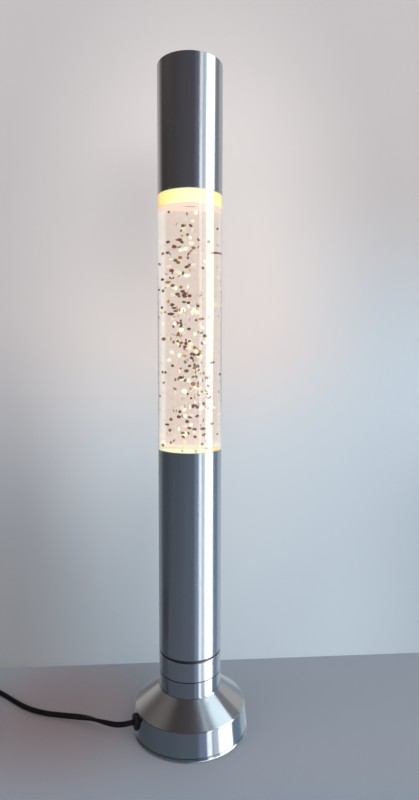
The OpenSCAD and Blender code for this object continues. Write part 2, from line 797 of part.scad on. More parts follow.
rocker_z = switch_h - 3.2;
module switch_base() {
    color([0.08, 0.08, 0.09]) at_switch() difference() {
        switch_shell(0, split_z, switch_t);
        at_switch_screws() translate([0, 0, -hair]) cylinder(r = 1.5, h = 8);
        at_switch_screws() translate([0, 0, -hair]) cylinder(r = 2.8, h = 1.3);
    }
}

module at_switch_screws() {
    for (s = [-1, 1]) translate([s * switch_l * 0.28, s * (switch_w / 2 - 5), 0]) children();
}

module switch_cover() {
    color([0.08, 0.08, 0.09]) at_switch() difference() {
        union() {
            switch_shell(split_z, switch_h, split_z - hair);
            for (s = [-1, 1]) translate([0, s * (rocker_w / 2 + 2.2), 0])
                translate([-3, -1.4, split_z]) cube([6, 2.8, switch_h - split_z - switch_t + hair]);
            at_switch_screws() translate([0, 0, split_z])
                cylinder(r = 2.4, h = switch_h - split_z - switch_t + hair);
        }
        translate([-rocker_l / 2 - 0.8, -rocker_w / 2 - 0.3, split_z + 1])
            cube([rocker_l + 1.6, rocker_w + 0.6, switch_h]);
        translate([0, -switch_w / 2 + switch_t, rocker_z]) rotate([-90, 0, 0])
            cylinder(r = 1 + fit, h = switch_w - 2 * switch_t);
        at_switch_screws() translate([0, 0, split_z - 1]) cylinder(r = 1.2 + fit, h = 5);
    }
}

// The rocker leans to its "on" side at rest
module switch_rocker() {
    l = rocker_l / 2 - 0.4;
    color([0.12, 0.12, 0.13]) at_switch() translate([0, 0, rocker_z]) rotate([0, rocker_lean, 0])
        difference() {
            rotate([90, 0, 0]) linear_extrude(rocker_w, center = true)
                polygon([[-l, 5.2], [0, 4.1], [l, 5.2], [l - 0.6, -0.4], [2.6, -1.2], [1.6, -3],
                    [-1.6, -3], [-2.6, -1.2], [-l + 0.6, -0.4]]);
            rotate([90, 0, 0]) cylinder(r = 1 + fit, h = 2 * rocker_w, center = true);
        }
}

module rocker_pin() {
    color([0.7, 0.7, 0.72]) at_switch() translate([0, 0, rocker_z]) rotate([90, 0, 0])
        cylinder(r = 1, h = rocker_w + 6.4, center = true);
}

module switch_contacts() {
    color([0.82, 0.7, 0.35]) at_switch() for (s = [-1, 1]) {
        translate([s * 11 - 8, -2.5, switch_t]) cube([16, 5, 0.8]);
        translate([s * 15 - 3, -3.5, switch_t]) cube([6, 7, 3.4]);
    }
}

module switch_screws() {
    color([0.7, 0.7, 0.72]) at_switch() at_switch_screws() translate([0, 0, 1.25])
        rotate([180, 0, 0]) screw(2.5, 0.95, 1.2, split_z + 1);
}

// ---- the free flex ----

grommet_mouth = polar(exit_r, cord_az, cord_z);
grommet_ahead = polar(exit_r + 3, cord_az, cord_z);
switch_right = switch_at[0] + switch_l / 2;
switch_left = switch_at[0] - switch_l / 2;
coil_mouth = [coil_at[0] - coil_r, coil_at[1] + flex_w, coil_z];

lead_path = concat([grommet_mouth, grommet_ahead], lead_points,
    [for (x = [switch_right + flex_w, switch_right, switch_right - switch_in])
        [x, switch_at[1], flex_in_z]]);
link_path = concat([for (x = [switch_left + switch_in, switch_left, switch_left - flex_w])
    [x, switch_at[1], flex_in_z]], link_points, [coil_mouth + [0, flex_w, 0], coil_mouth]);

module cord_lead() { color([0.07, 0.07, 0.08]) flex(lead_path, octagon, lead_twist); }

module cord_link() { color([0.07, 0.07, 0.08]) flex(link_path, octagon); }

// Height on the climb from the lower layer to the upper one, t turns from the start
function coil_climb(t) = let (k = max(0, min(1, 2 * (t - coil_turns / 2) + 0.5)))
    coil_layer * k * k * (3 - 2 * k);
coil_spiral = [for (i = [0:coil_turns * rings_per_turn]) let (t = i / rings_per_turn)
    polar(coil_r - coil_pitch * min(t, coil_turns - t), coil_start + 360 * t,
        coil_z + coil_climb(t)) + [coil_at[0], coil_at[1], 0]];
coil_end = coil_spiral[len(coil_spiral) - 1];
coil_path = concat([coil_mouth], coil_spiral, [coil_end + [0, flex_w, 0]]);

// Least gap between turns, from the upright middle line of the section at each ring
function turn_gap(p, q) = let (rise = max(0, abs(p[2] - q[2]) - (flex_w - flex_t)))
    norm([p[0] - q[0], p[1] - q[1], rise]) - flex_t;
coil_gaps = [for (i = [0:len(coil_spiral) - 1], j = [i + rings_per_turn / 2:len(coil_spiral) - 1])
    turn_gap(coil_spiral[i], coil_spiral[j])];
function path_length(path) = total([for (i = [1:len(path) - 1]) norm(path[i] - path[i - 1])]);

module cord_coil() {
    echo(str("least gap between the coil's turns: ", min(coil_gaps), " mm"));
    echo(str("free flex: lead ", path_length(lead_path), ", link ", path_length(link_path),
        ", coil ", path_length(coil_path), ", tail ", path_length(tail_path), " mm"));
    color([0.07, 0.07, 0.08]) flex(coil_path, hexagon);
}

// Two bands round the bundle of turns
module coil_ties() {
    low = coil_z - flex_half - tie_gap;
    high = coil_z + coil_layer + flex_half + tie_gap;
    r0 = coil_r - coil_pitch * coil_turns / 2 - flex_t / 2 - tie_gap;
    r1 = coil_r + flex_t / 2 + tie_gap;
    color([0.15, 0.15, 0.16]) translate([coil_at[0], coil_at[1], 0]) for (a = tie_angles)
        rotate([0, 0, a]) difference() {
            translate([r0 - tie_t, -tie_w / 2, low - tie_t])
                cube([r1 - r0 + 2 * tie_t, tie_w, high - low + 2 * tie_t]);
            translate([r0, -tie_w, low]) cube([r1 - r0, 2 * tie_w, high - low]);
        }
}

plug_z = plug_t / 2;
relief_y = plug_at[1] + relief_l;
tail_path = concat([coil_end + [0, flex_w, 0]],
    [for (i = [0:12]) [plug_at[0] - tail_bend, relief_y + flex_w, tail_heights[i]]
        + tail_bend * [-cos(15 * i), sin(15 * i), 0]],
    [[plug_at[0], relief_y, plug_z]]);
module cord_tail() { color([0.07, 0.07, 0.08]) flex(tail_path, octagon); }

// ---- plug ----

module at_plug() {
    translate([plug_at[0], plug_at[1], plug_z]) rotate([0, 0, -90]) children();
}

module plug_relief() {
    color([0.08, 0.08, 0.09]) at_plug() difference() {
        translate([-relief_l, 0, 0]) rotate([0, 90, 0])
            cylinder(r1 = relief_end_r, r2 = relief_root_r, h = relief_l);
        for (x = [-relief_l + 4:4:-3]) translate([x, 0, 0]) rotate([0, 90, 0])
            ring(relief_root_r + 1, 3.1, 1.4);
    }
}

module plug_body() {
    back_w = 14;
    color([0.08, 0.08, 0.09]) at_plug() difference() {
        translate([0, 0, -plug_z]) linear_extrude(plug_t) polygon([[0, -back_w / 2],
            [plug_l * 0.3, -plug_w * 0.36], [plug_l * 0.75, -plug_w / 2], [plug_l, -plug_w / 2],
            [plug_l, plug_w / 2], [plug_l * 0.75, plug_w / 2], [plug_l * 0.3, plug_w * 0.36],
            [0, back_w / 2]]);
        at_pins(plug_l - 8) cylinder(r = pin_r - pin_step + fit, h = 9);
    }
}

module at_pins(x) {
    for (s = [-1, 1]) translate([x, s * pin_gap / 2, 0]) rotate([0, 90, 0]) children();
}

module plug_pins() {
    color([0.8, 0.78, 0.7]) at_plug() at_pins(plug_l - 7.9) {
        cylinder(r = pin_r - pin_step, h = 7.9 + pin_sleeve_l);
        translate([0, 0, 7.9 + pin_sleeve_l]) cylinder(r = pin_r, h = pin_bare - 1);
        translate([0, 0, 6.9 + pin_l]) cylinder(r1 = pin_r, r2 = pin_r - 0.8, h = 1);
    }
}

module pin_sleeves() {
    color([0.08, 0.08, 0.09]) at_plug() at_pins(plug_l)
        ring(pin_r, pin_r - pin_step + fit, pin_sleeve_l);
}

// ---- the whole lamp ----

foot_shell();
base_plate();
base_pad();
ballast_weight();
support_pipe();
pipe_nuts();
pipe_washers();
neck_collar();
coupling_sleeve();
column_tube();
centring_disc();
cord_grommet();
cord_clamp();
clamp_screws();
inner_lead();
inner_cores();
lampholder();
holder_insert();
holder_thread();
centre_contact();
terminal_screws();
bulb_glass();
bulb_screw_cap();
bulb_insulator();
bulb_tip();
filament();
clear_tube();
bottom_window();
seal_rings();
liquid_fill();
glitter_flakes();
top_stopper();
filler_screw();
filler_washer();
cap_tube();
cap_lid();
switch_base();
switch_cover();
switch_rocker();
rocker_pin();
switch_contacts();
switch_screws();
cord_lead();
cord_link();
cord_coil();
coil_ties();
cord_tail();
plug_relief();
plug_body();
plug_pins();
pin_sleeves();
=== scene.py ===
"""Dresses the packed glitter lamp for a picture.

Brushed metal foot, column and cap; a lit clear tube of liquid with drifting flakes; a flat
black flex with its switch, coil and plug; and the small studio that they stand in. Lengths
are metres, z points up along the lamp's axis and the viewer stands at -y.
"""

import math

import bmesh
import bpy
import numpy as np
from mathutils import Matrix, Vector


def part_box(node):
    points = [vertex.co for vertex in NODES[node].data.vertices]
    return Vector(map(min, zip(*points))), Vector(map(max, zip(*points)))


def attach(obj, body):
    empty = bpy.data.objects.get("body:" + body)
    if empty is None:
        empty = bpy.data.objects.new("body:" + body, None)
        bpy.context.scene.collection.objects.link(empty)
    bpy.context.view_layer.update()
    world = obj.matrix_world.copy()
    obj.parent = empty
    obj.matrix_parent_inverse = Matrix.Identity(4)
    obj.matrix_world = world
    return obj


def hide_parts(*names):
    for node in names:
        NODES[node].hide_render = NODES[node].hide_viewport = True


bl_info = {
    "name": "Glitter Lamp",
    "version": (1, 0, 0),
    "blender": (4, 5, 0),
    "location": "3D View > Sidebar > Glitter Lamp",
    "description": "Builds the looks of a slim glitter lamp piece by piece",
    "category": "Add Mesh",
}

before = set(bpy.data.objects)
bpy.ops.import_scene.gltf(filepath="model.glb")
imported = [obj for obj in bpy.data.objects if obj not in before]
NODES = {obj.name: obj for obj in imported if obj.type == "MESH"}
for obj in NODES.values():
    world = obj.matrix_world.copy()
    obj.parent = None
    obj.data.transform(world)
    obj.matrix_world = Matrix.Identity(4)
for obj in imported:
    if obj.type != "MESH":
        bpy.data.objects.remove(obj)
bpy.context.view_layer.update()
MM = 0.001
MERGE = 2e-6  # points closer than this become one
FLAT = math.radians(0.6)  # faces that turn by less become one

SENSOR = 24.0  # the camera's, in millimetres
PHOTO_TALL, PHOTO_FOCUS = 800, 566.369  # in pixels
VIEW_TURN = (4.3713, 1.9816, 0.1511)  # degrees down, to the right and rolled
VIEW_FROM = (0, -0.51755, 0.35065)

FLEX_Z = 15.4  # height of the hole that the flex leaves by, in millimetres
FLEX_WAY = math.radians(200)  # its direction round the lamp
AHEAD = np.array([math.cos(FLEX_WAY), math.sin(FLEX_WAY), 0])
SIDE = np.array([-AHEAD[1], AHEAD[0], 0])
UP = np.array([0, 0, 1])
BORE = 25.4  # radius that the liquid and the flakes keep to, in millimetres


def span(node):
    """Heights of a node's underside and top, in millimetres."""
    return [corner.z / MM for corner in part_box(node)[:2]]


# ---- shader sums


def arithmetic(operation, swapped=False):
    """A method of Wire that adds a Math node, of the wire alone or of it and another value,
    which comes first where swapped is set."""

    def maths(wire, other=None):
        values = (other, wire) if swapped else (wire, other)
        return wire.finish.node("ShaderNodeMath", {"operation": operation}, *values)

    return maths


class Wire:
    """One output of a shader node. Arithmetic on wires adds Math nodes."""

    def __init__(self, finish, out):
        self.finish, self.out = finish, out

    def __getitem__(self, name):
        return Wire(self.finish, self.out.node.outputs[name])

    __add__, __radd__ = arithmetic("ADD"), arithmetic("ADD", True)
    __sub__, __rsub__ = arithmetic("SUBTRACT"), arithmetic("SUBTRACT", True)
    __mul__, __rmul__ = arithmetic("MULTIPLY"), arithmetic("MULTIPLY", True)
    __abs__, root, at_least = map(arithmetic, ("ABSOLUTE", "SQRT", "MAXIMUM"))

    def rise(self, start, end):
        """0 before start, 1 after end, a smooth step between them."""
        return self.finish.node(
            "ShaderNodeMapRange", {"interpolation_type": "SMOOTHSTEP"},
            Value=self, From_Min=start, From_Max=end,
        )

    def band(self, start, end, soft):
        """1 from start to end and 0 outside, with soft edges."""
        return self.rise(start - soft, start + soft) * (1 - self.rise(end - soft, end + soft))

    def near(self, marks, inside, outside):
        """1 closer than inside to one of the marks, 0 farther than outside from them all."""
        found, *others = (1 - abs(self - mark).rise(inside, outside) for mark in marks)
        for other in others:
            found = found.at_least(other)
        return found


class Finish:
    """The node tree of its owner, which is a new material or world."""

    def __init__(self, owner):
        owner.use_nodes = True
        self.owner, self.tree = owner, owner.node_tree
        self.tree.nodes.clear()

    def node(self, kind, settings=None, *values, **named):
        """Adds a node: its settings first, then the values or wires of its sockets, by
        position or by name. A colour is given without its alpha, which is always 1."""
        made = self.tree.nodes.new(kind)
        for key, value in (settings or {}).items():
            setattr(made, key, value)
        named = {key.replace("_", " "): value for key, value in named.items()}
        for key, value in [*enumerate(values), *named.items()]:
            socket = made.inputs[key]
            if isinstance(value, Wire):
                self.tree.links.new(value.out, socket)
            elif value is not None:
                socket.default_value = (*value, 1.0) if socket.type == "RGBA" else value
        return Wire(self, made.outputs[0]) if made.outputs else made

    def place(self):
        """Object coordinates in millimetres, as three wires."""
        spot = self.node("ShaderNodeTexCoord")["Object"]
        parts = self.node("ShaderNodeSeparateXYZ", None, spot)
        return [parts[axis] * 1000 for axis in "XYZ"]

    def radius(self):
        """Distance from the lamp's axis in millimetres."""
        x, y, _ = self.place()
        return (x * x + y * y).root()

    def noise(self, x, y, z, detail=2.0, rough=0.5):
        """Noise of about 0 to 1 whose grain is one unit of x, y and z."""
        spot = self.node("ShaderNodeCombineXYZ", None, x, y, z)
        return self.node(
            "ShaderNodeTexNoise", Vector=spot, Scale=1.0, Detail=detail, Roughness=rough
        )

    def grain(self, across, along, detail=2.0, rough=0.5):
        """Noise with so many grains a millimetre across the lamp's axis and along it."""
        x, y, z = self.place()
        return self.noise(x * across, y * across, z * along, detail, rough)

    def tint(self, name):
        """Colour that a mesh carries point by point under this name."""
        return self.node("ShaderNodeAttribute", {"attribute_name": name})["Color"]

    def mix(self, amount, first, second):
        """Colour from first to second as amount goes from 0 to 1."""
        unused = (None,) * 5
        return self.node(
            "ShaderNodeMix", {"data_type": "RGBA"}, amount, *unused, first, second
        )[2]

    def coats(self, tone, *layers):
        """Tone under layers of (amount, colour), each mixed over the ones before it."""
        for amount, over in layers:
            tone = self.mix(amount, tone, over)
        return tone

    def blend(self, amount, first, second):
        """Shader from first to second as amount goes from 0 to 1."""
        return self.node("ShaderNodeMixShader", None, amount, first, second)

    def bumps(self, height, strength, depth):
        """Normal that height, from 0 to 1, presses depth metres deep."""
        return self.node("ShaderNodeBump", Strength=strength, Distance=depth, Height=height)

    def surface(self, **sockets):
        """Principled surface with these values or wires, one socket a keyword."""
        return self.show(self.node("ShaderNodeBsdfPrincipled", **sockets))

    def show(self, shader, kind="ShaderNodeOutputMaterial"):
        """Wires the shader to the output and gives back the finished owner."""
        self.node(kind, None, shader)
        return self.owner


def finish(name):
    """The Finish of a new material."""
    return Finish(bpy.data.materials.new(name))


def wear(node, material):
    """Gives every material slot of a CAD node this material."""
    piece = NODES[node]
    if not piece.material_slots:
        piece.data.materials.append(material)
    for slot in piece.material_slots:
        slot.material = material


# ---- shapes


def unit(v):
    """Vectors scaled to length 1."""
    return v / np.linalg.norm(v, axis=-1, keepdims=True)


def grid_faces(rows, columns, loop=False):
    """Quads between neighbouring rows of points; every row closes on itself, and the last
    row joins the first where loop is set."""
    i, j = np.mgrid[0 : rows if loop else rows - 1, 0:columns]
    here, beside = i * columns + j, i * columns + (j + 1) % columns
    up = ((i + 1) % rows - i) * columns
    return np.stack([here, beside, beside + up, here + up], -1).reshape(-1, 4)


def lathe(profile, steps=96):
    """Profile of (radius, height) turned round the axis: x = r cos a, y = r sin a."""
    r, z = np.asarray(profile, float).T[:, :, None]
    a = np.linspace(0, 2 * np.pi, steps, endpoint=False)
    return np.stack([r * np.cos(a), r * np.sin(a), z + 0 * a], -1)


def rounded(corners, radii, steps=5):
    """Polyline with its corners rounded: each corner becomes an arc that touches both of its
    sides, drawn as the corner plus a bow between the two points radius * tan(turn / 2) away."""
    corners, made = np.asarray(corners, float), []
    count = len(corners)
    for k, radius in enumerate(radii):
        here = corners[k]
        if radius == 0:
            made.append(here[None])
            continue
        before, after = (unit(corners[(k + step) % count] - here) for step in (-1, 1))
        half = np.arccos(np.clip(before @ after, -1, 1)) / 2
        middle = here + unit(before + after) * radius / np.sin(half)
        start, end = here + before * radius / np.tan(half), here + after * radius / np.tan(half)
        t = np.linspace(0, 1, steps)[:, None]
        made.append(middle + radius * unit((start - middle) * (1 - t) + (end - middle) * t))
    return np.concatenate(made)


def smooth_route(points, step=1.6 * MM, twist=None):
    """Cubic through the points: each point's slope is the change of its neighbours over the
    distance along the route. Returns the route and the twist at its points."""
    p = np.asarray(points, float)
    s = np.r_[0, np.cumsum(np.linalg.norm(np.diff(p, axis=0), axis=1))]
    slope = np.gradient(p, s, axis=0)
    at = np.linspace(0, s[-1], int(s[-1] / step) + 2)
    k = np.clip(np.searchsorted(s, at, side="right") - 1, 0, len(s) - 2)
    h = (s[k + 1] - s[k])[:, None]
    t = (at - s[k])[:, None] / h
    route = (
        p[k] * (1 + 2 * t) * (1 - t) ** 2
        + p[k + 1] * t**2 * (3 - 2 * t)
        + h * slope[k] * t * (1 - t) ** 2
        - h * slope[k + 1] * t**2 * (1 - t)
    )
    return route, np.interp(at, s, np.zeros(len(s)) if twist is None else twist)


def swept(route, section, twist=0.0, across=(0, 0, 1)):
    """Section of (side, up) offsets carried along a route. Side stands on the route and on
    across, so it is level for a flex on the table; up stands on side and on the route; the
    section turns by twist about the route. Both ends are closed at their middles."""
    along = unit(np.gradient(route, axis=0))
    side = unit(np.cross(along, across))
    up = np.cross(side, along)
    turn = np.broadcast_to(twist, len(route))[:, None]
    x = section[:, 0] * np.cos(turn) - section[:, 1] * np.sin(turn)
    y = section[:, 0] * np.sin(turn) + section[:, 1] * np.cos(turn)
    tube = route[:, None] + side[:, None] * x[..., None] + up[:, None] * y[..., None]
    ends = [np.repeat(route[k][None, None], len(section), 1) for k in (0, -1)]
    return np.concatenate([ends[0], tube, ends[1]])


def oval(count, a, b, power=2.0):
    """Closed curve on which x over a and y over b, each to this power, add up to 1: x is a
    times the cosine to the power of 2 over power, and y is b times the sine to the same."""
    t = np.linspace(0, 2 * np.pi, count, endpoint=False)
    c, s = np.cos(t), np.sin(t)
    return np.stack(
        [a * np.sign(c) * abs(c) ** (2 / power), b * np.sign(s) * abs(s) ** (2 / power)], -1
    )


def add_piece(
    name, grids, material, body="lamp", stands_for=(), loop=False, sharp=40, tints=None
):
    """Puts grids of points into one mesh, merges its seams and poles, and lets the piece
    ride on its body in place of the CAD nodes that it stands for. Tints are colours per
    grid, by attribute name."""
    points, faces, count = [], [], 0
    for grid in grids:
        rows, columns = grid.shape[:2]
        points.append(grid.reshape(-1, 3))
        faces.append(grid_faces(rows, columns, loop) + count)
        count += rows * columns
    mesh = bpy.data.meshes.new(name)
    mesh.from_pydata(np.concatenate(points).tolist(), [], np.concatenate(faces).tolist())
    for key, colours in (tints or {}).items():
        layer = mesh.color_attributes.new(key, "FLOAT_COLOR", "POINT")
        each = np.repeat(np.asarray(colours, float), [len(p) for p in points], 0)
        layer.data.foreach_set("color", np.c_[each, np.ones(len(each))].ravel())
    close_up(mesh, sharp)
    mesh.materials.append(material)
    return put_on(name, mesh, body, stands_for)


def close_up(mesh, sharp=40):
    """Merges doubled points, drops collapsed faces, points every face outwards and shades
    the mesh smooth but for edges sharper than so many degrees."""
    work = bmesh.new()
    work.from_mesh(mesh)
    bmesh.ops.remove_doubles(work, verts=work.verts, dist=MERGE)
    bmesh.ops.dissolve_degenerate(work, edges=work.edges, dist=1e-7)
    bmesh.ops.recalc_face_normals(work, faces=work.faces)
    work.to_mesh(mesh)
    work.free()
    mesh.shade_smooth()
    mesh.set_sharp_from_angle(angle=math.radians(sharp))


def softened(name, node, width, material, body="lamp"):
    """A copy of a CAD node with its sharp edges rounded: doubled points are merged, flat
    faces joined, and every edge sharper than 0.6 radians becomes an arc of this width."""
    mesh = NODES[node].data.copy()
    mesh.name = name
    mesh.materials.clear()
    work = bmesh.new()
    work.from_mesh(mesh)
    bmesh.ops.remove_doubles(work, verts=work.verts, dist=MERGE)
    bmesh.ops.dissolve_limit(work, angle_limit=FLAT, verts=work.verts, edges=work.edges)
    sharp = [e for e in work.edges if len(e.link_faces) == 2 and e.calc_face_angle(0) > 0.6]
    bmesh.ops.bevel(
        work, geom=sharp, offset=width, segments=3, profile=0.5, affect="EDGES", clamp_overlap=True
    )
    work.to_mesh(mesh)
    work.free()
    close_up(mesh)
    mesh.materials.append(material)
    return put_on(name, mesh, body, (node,))


def placed(name, data):
    """A new object of the scene."""
    piece = bpy.data.objects.new(name, data)
    bpy.context.scene.collection.objects.link(piece)
    return piece


def put_on(name, mesh, body, stands_for):
    """A new piece that rides on a body and stands for CAD nodes."""
    piece = placed(name, mesh)
    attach(piece, body)
    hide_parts(*stands_for)
    return piece


# ---- sizes and colours


def colour(name, description, default):
    """A colour that the panel shows."""
    return bpy.props.FloatVectorProperty(
        name=name, description=description, default=default, subtype="COLOR", min=0, soft_max=1
    )


def length(name, description, default):
    """A length in metres."""
    return bpy.props.FloatProperty(
        name=name, description=description, default=default, min=0, unit="LENGTH", precision=5
    )


def number(name, description, default, low=0):
    """A whole number of at least low."""
    return bpy.props.IntProperty(name=name, description=description, default=default, min=low)


def share(name, description, default, top=1.0):
    """A number from 0 to top."""
    return bpy.props.FloatProperty(
        name=name, description=description, default=default, min=0, max=top, subtype="FACTOR"
    )


class GlitterLampMetal(bpy.types.PropertyGroup):
    """The brushed metal of foot, column and cap"""

    tone: colour("Tone", "Colour of the bare metal", (0.63, 0.64, 0.66))
    gloss: share("Roughness", "Roughness of the brushed surface", 0.24)
    grain: share("Grain", "How strongly the turned lines spread a reflection upwards", 0.9)
    lines: share("Turned lines", "How deep the turned lines are", 0.12)


class GlitterLampFlex(bpy.types.PropertyGroup):
    """The flat black flex"""

    width: length("Width", "Width of the flat flex", 5.2 * MM)
    thick: length("Thickness", "Thickness of the flat flex", 3.2 * MM)
    tone: colour("Tone", "Colour of the flex, the switch and the plug", (0.0065, 0.0055, 0.006))


class GlitterLampBottle(bpy.types.PropertyGroup):
    """The clear tube and what drifts in it"""

    rim: length("Rim", "Radius that the tube's edges are rounded with", 0.5 * MM)
    count: number("Flakes", "How many flakes drift in the liquid", 370, 10)
    radius: length("Radius", "Radius of a usual flake", 1.55 * MM)
    thick: length("Thickness", "Thickness of a flake", 0.12 * MM)
    seed: number("Seed", "Picks another drift", 7)


class GlitterLampGlow(bpy.types.PropertyGroup):
    """The lit parts"""

    ring: colour("Ring", "Light of the ring under the cap", (0.97, 0.96, 0.36))
    # painted highlight: the ring's whitest light, in front
    ring_highlight: colour("Ring, middle", "Light of the ring at its brightest", (1.0, 0.97, 0.68))
    ring_end: colour("Ring, end", "Light of the ring's warm end", (1.0, 0.55, 0.1))
    window: colour("Window", "Light of the window under the liquid", (1.0, 0.93, 0.62))
    veil: colour("Veil", "Light that hangs in the liquid", (1.0, 0.8, 0.62))


class GlitterLampStage(bpy.types.PropertyGroup):
    """Table, wall and lights"""

    table: colour("Table", "Colour of the table", (0.30, 0.33, 0.38))
    wall: colour("Wall", "Colour of the wall", (0.665, 0.61, 0.59))
    # painted shade: the wall's colour low down, bluer and darker
    shaded_low_wall: colour("Low wall", "Colour of the wall near the table", (0.53, 0.605, 0.67))
    # painted light: the bulb's warm glow on the wall, which only the clear tube shows
    through: colour("Through", "Wall as the clear tube shows it", (0.80, 0.675, 0.605))
    wall_y: length("Wall", "How far the wall stands behind the lamp's axis", 0.112)
    key: share("Key light", "Power of the large soft light", 10.0, 100.0)
    sky: share("Soft light", "Strength of the even light from all round", 1.0, 4.0)
    window: share("Window", "Strength of the window that the metal mirrors", 3.2, 40.0)


LOOKS = (
    ("metal", GlitterLampMetal),
    ("flex", GlitterLampFlex),
    ("bottle", GlitterLampBottle),
    ("glow", GlitterLampGlow),
    ("stage", GlitterLampStage),
)


class Maker:
    """What all operators share."""

    bl_options = {"REGISTER", "UNDO"}

    @property
    def looks(self):
        return bpy.context.scene.glitter_lamp


# ---- camera and stage


class GLITTERLAMP_OT_camera(Maker, bpy.types.Operator):
    """Place the camera where the viewer stands"""

    bl_idname = "glitter_lamp.camera"
    bl_label = "Camera"

    def execute(self, context):
        down, aside, roll = (math.radians(angle) for angle in VIEW_TURN)
        turn = Matrix.Rotation(-aside, 3, "Z")
        turn = turn @ Matrix.Rotation(math.pi / 2 - down, 3, "X") @ Matrix.Rotation(roll, 3, "Z")
        lens = bpy.data.cameras.new("camera")
        lens.sensor_fit, lens.sensor_height = "VERTICAL", SENSOR
        lens.lens = PHOTO_FOCUS / PHOTO_TALL * SENSOR
        lens.clip_start, lens.clip_end = 0.01, 60
        camera = placed("camera", lens)
        camera.matrix_world = Matrix.Translation(VIEW_FROM) @ turn.to_4x4()
        context.scene.camera = camera
        context.scene.view_settings.view_transform = "Standard"
        return {"FINISHED"}


def plane(name, corners, material):
    """One flat quad of the stage."""
    mesh = bpy.data.meshes.new(name)
    mesh.from_pydata(corners, [], [(0, 1, 2, 3)])
    mesh.materials.append(material)
    piece = placed(name, mesh)
    piece.visible_glossy = False
    return piece


